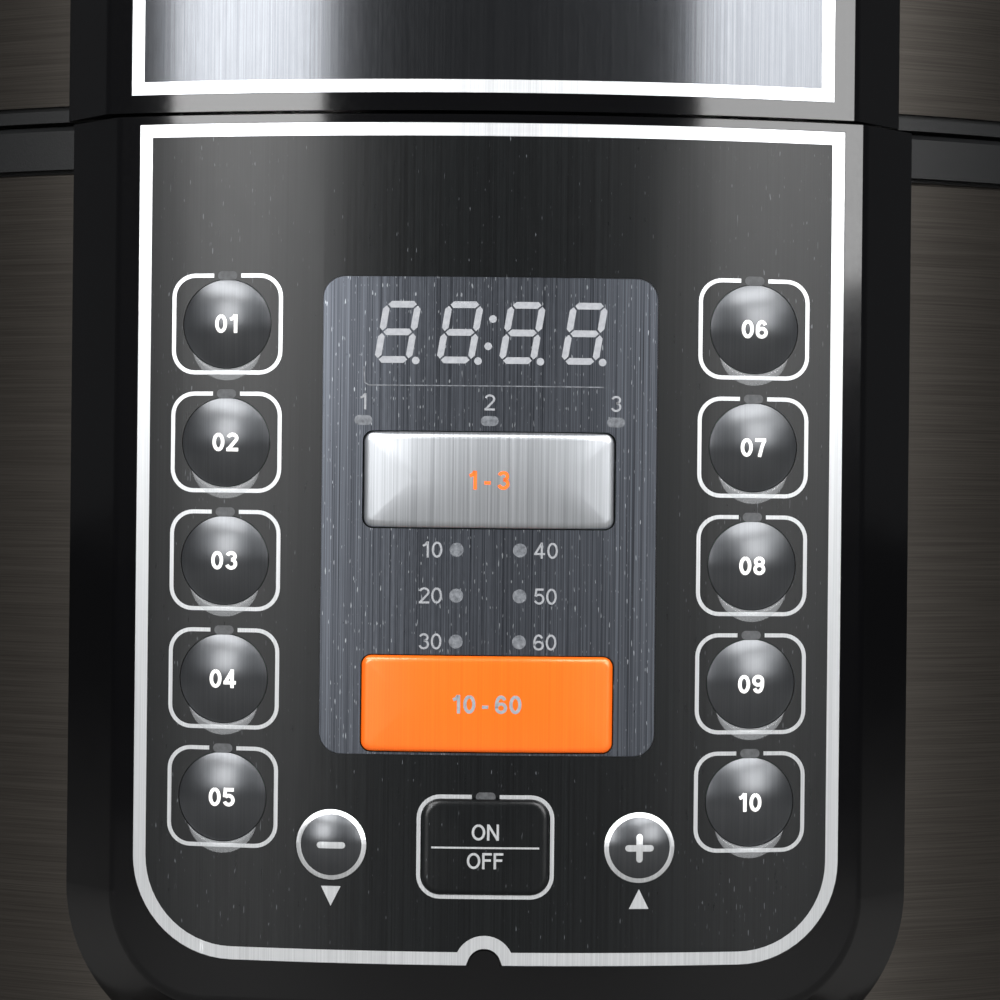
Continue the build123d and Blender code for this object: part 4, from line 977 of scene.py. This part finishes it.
def pillow_key(key, material):
    """Bar key with a rolled edge in place of its plain solid. Returns its height above the panel."""
    low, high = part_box(key)
    centre_z, half_h = (low.z + high.z) / 2, (high.z - low.z) / 2
    half_w, corner, rounding, crown = bar_shapes[key]
    rise = -low.y - panel_r

    def height(x, inset):
        edge = max(0.0, 1 - inset / rounding)
        return rise * sqrt(1 - edge**2) - crown * (x / half_w) ** 4

    insets = [0.0] + [rounding * step for step in (0.04, 0.12, 0.25, 0.45, 0.7, 1.0)] + [half_h]
    points, faces = [], []
    count = 0
    for level, inset in enumerate([0.0] + insets):
        radius = max(corner - inset, 0.0)
        path = rounded_path(half_w - inset, inset - half_h, half_h - inset, radius, radius)
        runs = spread(path)
        count = len(runs)
        for x, z in runs:
            out = -bar_depth if level == 0 else height(x, inset)
            points.append((x, -sqrt((panel_r + out) ** 2 - x**2), centre_z + z))
    for ring in range(len(insets)):
        outer, inner = ring * count, (ring + 1) * count
        for i in range(count):
            on = (i + 1) % count
            faces.append([outer + i, inner + i, inner + on, outer + on])
    cap = piece_from(key + "_cap", points, faces, material, smooth=True)
    shape = bmesh.new()
    shape.from_mesh(cap.data)
    bmesh.ops.remove_doubles(shape, verts=shape.verts, dist=0.00001)
    bmesh.ops.recalc_face_normals(shape, faces=shape.faces)
    shape.to_mesh(cap.data)
    shape.free()
    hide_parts(key)
    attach(cap, key)
    return rise


bar_rise = pillow_key("key_level", key_silver)
pillow_key("key_select", orange_lacquer)
pillow_key("key_cancel", film)
bar_ink_r = panel_r + bar_rise + ink_lift

for key, words, ink in (("key_level", "1 - 3", orange_ink), ("key_select", "10 - 60", grey_ink)):
    spot = middle(key)
    label = shifted(lettering(words, key_label_h, bar_key_stroke), spot.x, spot.z)
    printed(key + "_label", label, bar_ink_r, ink, key)

cancel_line = ribbon([(-cancel_line_half, 0.0), (cancel_line_half, 0.0)], cancel_line_w, closed=False)
word_on = lettering("ON", small_label_h, cancel_stroke)
word_off = lettering("OFF", small_label_h, cancel_stroke)
cancel_rows = ((word_on, 0.0024), (cancel_line, -0.0001), (word_off, -0.0022))
cancel_words = joined([shifted(shape, cancel.x, cancel.z + rise) for shape, rise in cancel_rows])
printed("key_cancel_words", cancel_words, bar_ink_r, silver, "key_cancel")

# ============================================= lid plate
plate_middle = (plate_low + plate_high) / 2
plate_turn = asin(plate_middle.x / panel_r)
plate_inset = border_w / 2 + border_gap
plate_half_w = (plate_high.x - plate_low.x) / 2 / cos(plate_turn)
edge_x = plate_half_w - plate_inset
edge_high, edge_low = plate_high.z - plate_inset, plate_low.z + plate_inset
plate_corners = [(-edge_x, edge_high), (edge_x, edge_high), (edge_x, edge_low), (-edge_x, edge_low)]
plate_border = ribbon(plate_corners, border_w)
printed("lid_plate_border", plate_border, ink_r, silver, "lid", turn=plate_turn)

# ============================================= inner pot's filling marks
mark_r = (pot_high.x - pot_low.x) / 2 - pot_rim_w - ink_lift
mark_spots = [(0.0, 0.0, pot_low.z + mark_low + mark_pitch * i) for i in range(5)]
tick = flat_piece(ribbon([(-mark_half, 0.0), (mark_half, 0.0)], mark_stroke, closed=False), grey_ink)
repeated("pot_marks", tick, mark_spots, grey_ink, "inner_pot", mark_r, 1)
mark_labels = []
for i, (x, y, z) in enumerate(mark_spots):
    mark_label = lettering(str(2 * (i + 1)), mark_label_h, small_stroke)
    mark_labels.append(shifted(mark_label, mark_label_x, z))
printed("pot_numbers", joined(mark_labels), mark_r, grey_ink, "inner_pot", side=1)


# ============================================= screws in the base
def cross_head(material):
    """Pan head with a cross recess, its face down, at the origin."""
    count = 32
    shape = bmesh.new()

    def outline(path, height):
        return [shape.verts.new((x, y, height)) for x, y in path]

    def wall(lower, upper):
        for i in range(len(lower)):
            on = (i + 1) % len(lower)
            shape.faces.new((lower[i], lower[on], upper[on], upper[i]))

    corners = []
    for turn in range(4):
        angle = -turn * pi / 2
        for x, y in ((cross_half, cross_half), (cross_arm, cross_half), (cross_arm, -cross_half)):
            corners.append((x * cos(angle) - y * sin(angle), x * sin(angle) + y * cos(angle)))
    rim = outline(circle(screw_r * screw_rim, count), 0.0)
    cross = outline(corners, 0.0)
    edges = []
    for loop in (rim, cross):
        edges += [shape.edges.new((loop[i], loop[(i + 1) % len(loop)])) for i in range(len(loop))]
    bmesh.ops.triangle_fill(shape, edges=edges, use_beauty=True)
    face_spots = [(face, face.calc_center_median()) for face in shape.faces]
    inside = [face for face, spot in face_spots if abs(spot.x) + abs(spot.y) < cross_half]
    bmesh.ops.delete(shape, geom=inside, context="FACES_ONLY")
    floor = outline([(x * cross_taper, y * cross_taper) for x, y in corners], cross_depth)
    wall(cross, floor)
    shape.faces.new(floor)
    shoulder = outline(circle(screw_r, count), screw_t * screw_shoulder)
    seat = outline(circle(screw_r, count), screw_t)
    wall(rim, shoulder)
    wall(shoulder, seat)
    shape.faces.new(seat)
    bmesh.ops.recalc_face_normals(shape, faces=shape.faces)
    head = piece_from("shape", [], [], material)
    shape.to_mesh(head.data)
    shape.free()
    return head


steel = slot_finishes["plated_steel"]
screw_angles = [radians(screw_turn + 90 * i) for i in range(4)]
screw_spots = [(screw_reach * cos(a), screw_reach * sin(a), screw_face_z) for a in screw_angles]
screws = repeated(
    "base_screw_heads", cross_head(steel), screw_spots, steel, "cooker_base"
)
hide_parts("base_screws")


# ============================================= sensor spring
def coil(name, low, high, wire_r, turns, material):
    """Round wire wound into an upright spring that fills a box."""
    centre = (low + high) / 2
    reach = (high.x - low.x) / 2 - wire_r
    start, end = low.z + wire_r + ink_lift, high.z - wire_r - ink_lift
    sides, steps = 8, 24 * turns
    points, faces = [], [list(range(sides))]
    for step in range(steps + 1):
        angle = 2 * pi * turns * step / steps
        rise = start + (end - start) * step / steps
        for out, z in circle(wire_r, sides):
            x, y = (reach + out) * cos(angle), (reach + out) * sin(angle)
            points.append((centre.x + x, centre.y + y, rise + z))
    for step in range(steps):
        here, ahead = step * sides, (step + 1) * sides
        for i in range(sides):
            on = (i + 1) % sides
            faces.append([here + i, ahead + i, ahead + on, here + on])
    faces.append([steps * sides + i for i in reversed(range(sides))])
    return piece_from(name, points, faces, material, smooth=True)


spring_low, spring_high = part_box("sensor_spring")
spring_slot = node_slots["sensor_spring"]
spring_steel = slot_finishes[spring_slot]
spring = coil("sensor_coil", spring_low, spring_high, spring_wire_r, spring_turns, spring_steel)
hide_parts("sensor_spring")
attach(spring, "cooker_base")
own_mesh(spring)

# ============================================= studio
floor_reach = 20.0
even_share = 0.6  # how much of the floor's tone doesn't depend on the lamps
mirrored_loss = 0.6  # how much of the floor's light is missing where the cooker mirrors it
lamp_aim = Vector((0.0, 0.0, 0.16))
sky_strength = 0.09
camera_place = (0.0018, -0.842, 0.16785)
camera_angle = 13.32
camera_roll = 0.6


def soft_box(name, place, width, height, power):
    """Rectangular lamp that faces the cooker."""
    lamp = bpy.data.lights.new(name, "AREA")
    lamp.shape = "RECTANGLE"
    lamp.size = width
    lamp.size_y = height
    lamp.energy = power
    box = placed(name, lamp)
    box.rotation_euler = (lamp_aim - Vector(place)).to_track_quat("-Z", "Y").to_euler()
    box.location = place


soft_box("soft_box_left", (-0.77, -1.23, 0.50), 0.52, 0.5, 9.5)
soft_box("soft_box_right", (0.89, -1.14, 0.52), 0.6, 0.5, 9.5)
soft_box("soft_box_high_left", (-0.65, -0.83, 0.91), 1.0, 0.32, 13)
soft_box("soft_box_high_right", (0.57, -0.89, 0.91), 0.9, 0.32, 11)
soft_box("soft_box_side", (1.15, -0.65, 0.85), 0.4, 0.6, 2.2)
soft_box("soft_box_above", (0.1, 0.6, 1.7), 1.2, 1.2, 9)
soft_box("soft_box_behind", (0.6, 1.6, 1.0), 0.9, 0.9, 12)

# pale paper sheet: what the camera sees of it is part even tone, so that it stays pale far off;
# its mirror image is darker, so that the lower half of the cooker stays black
floor_paper = finish("floor_paper_pale", {"Base Color": colour("A6A5A3"), "Roughness": 0.7})
paper = floor_paper.node_tree
rays = add(paper, "ShaderNodeLightPath").outputs
seen = {0: rays["Is Camera Ray"], 1: even_share}
share = add(paper, "ShaderNodeMath", seen, operation="MULTIPLY").outputs[0]
even_tone = add(paper, "ShaderNodeEmission", {"Color": colour("E9E8E6")}).outputs[0]
lit = paper.nodes["Principled BSDF"].outputs[0]
sheet = add(paper, "ShaderNodeMixShader", {0: share, 1: lit, 2: even_tone}).outputs[0]
mirrored = {0: rays["Is Glossy Ray"], 1: mirrored_loss}
loss = add(paper, "ShaderNodeMath", mirrored, operation="MULTIPLY").outputs[0]
unlit = add(paper, "ShaderNodeEmission", {"Strength": 0.0}).outputs[0]
dimmed = add(paper, "ShaderNodeMixShader", {0: loss, 1: sheet, 2: unlit}).outputs[0]
paper.links.new(dimmed, paper.nodes["Material Output"].inputs["Surface"])
corner_signs = ((-1, -1), (1, -1), (1, 1), (-1, 1))
sheet_corners = [(x * floor_reach, y * floor_reach, 0.0) for x, y in corner_signs]
piece_from("floor", sheet_corners, [[0, 1, 2, 3]], floor_paper)

world = bpy.data.worlds.new("studio")
world.use_nodes = True
bpy.context.scene.world = world
sky = world.node_tree.nodes["Background"]
sky.inputs["Color"].default_value = colour("D9DBDE")
sky.inputs["Strength"].default_value = sky_strength
path_kind = add(world.node_tree, "ShaderNodeLightPath")
backdrop = add(world.node_tree, "ShaderNodeBackground", {"Color": colour("BCBBB9"), "Strength": 1.0})
sky_parts = {0: path_kind.outputs["Is Camera Ray"], 1: sky.outputs[0], 2: backdrop.outputs[0]}
mixed_sky = add(world.node_tree, "ShaderNodeMixShader", sky_parts).outputs[0]
world.node_tree.links.new(mixed_sky, world.node_tree.nodes["World Output"].inputs["Surface"])

camera_data = bpy.data.cameras.new("camera")
camera_data.angle = radians(camera_angle)
camera_data.clip_start = 0.01
camera = placed("camera", camera_data)
camera.location = camera_place
upright = Matrix.Rotation(pi / 2, 3, "X")
camera.rotation_euler = (upright @ Matrix.Rotation(radians(camera_roll), 3, "Z")).to_euler()
bpy.context.scene.camera = camera
bpy.context.scene.view_settings.view_transform = "Standard"
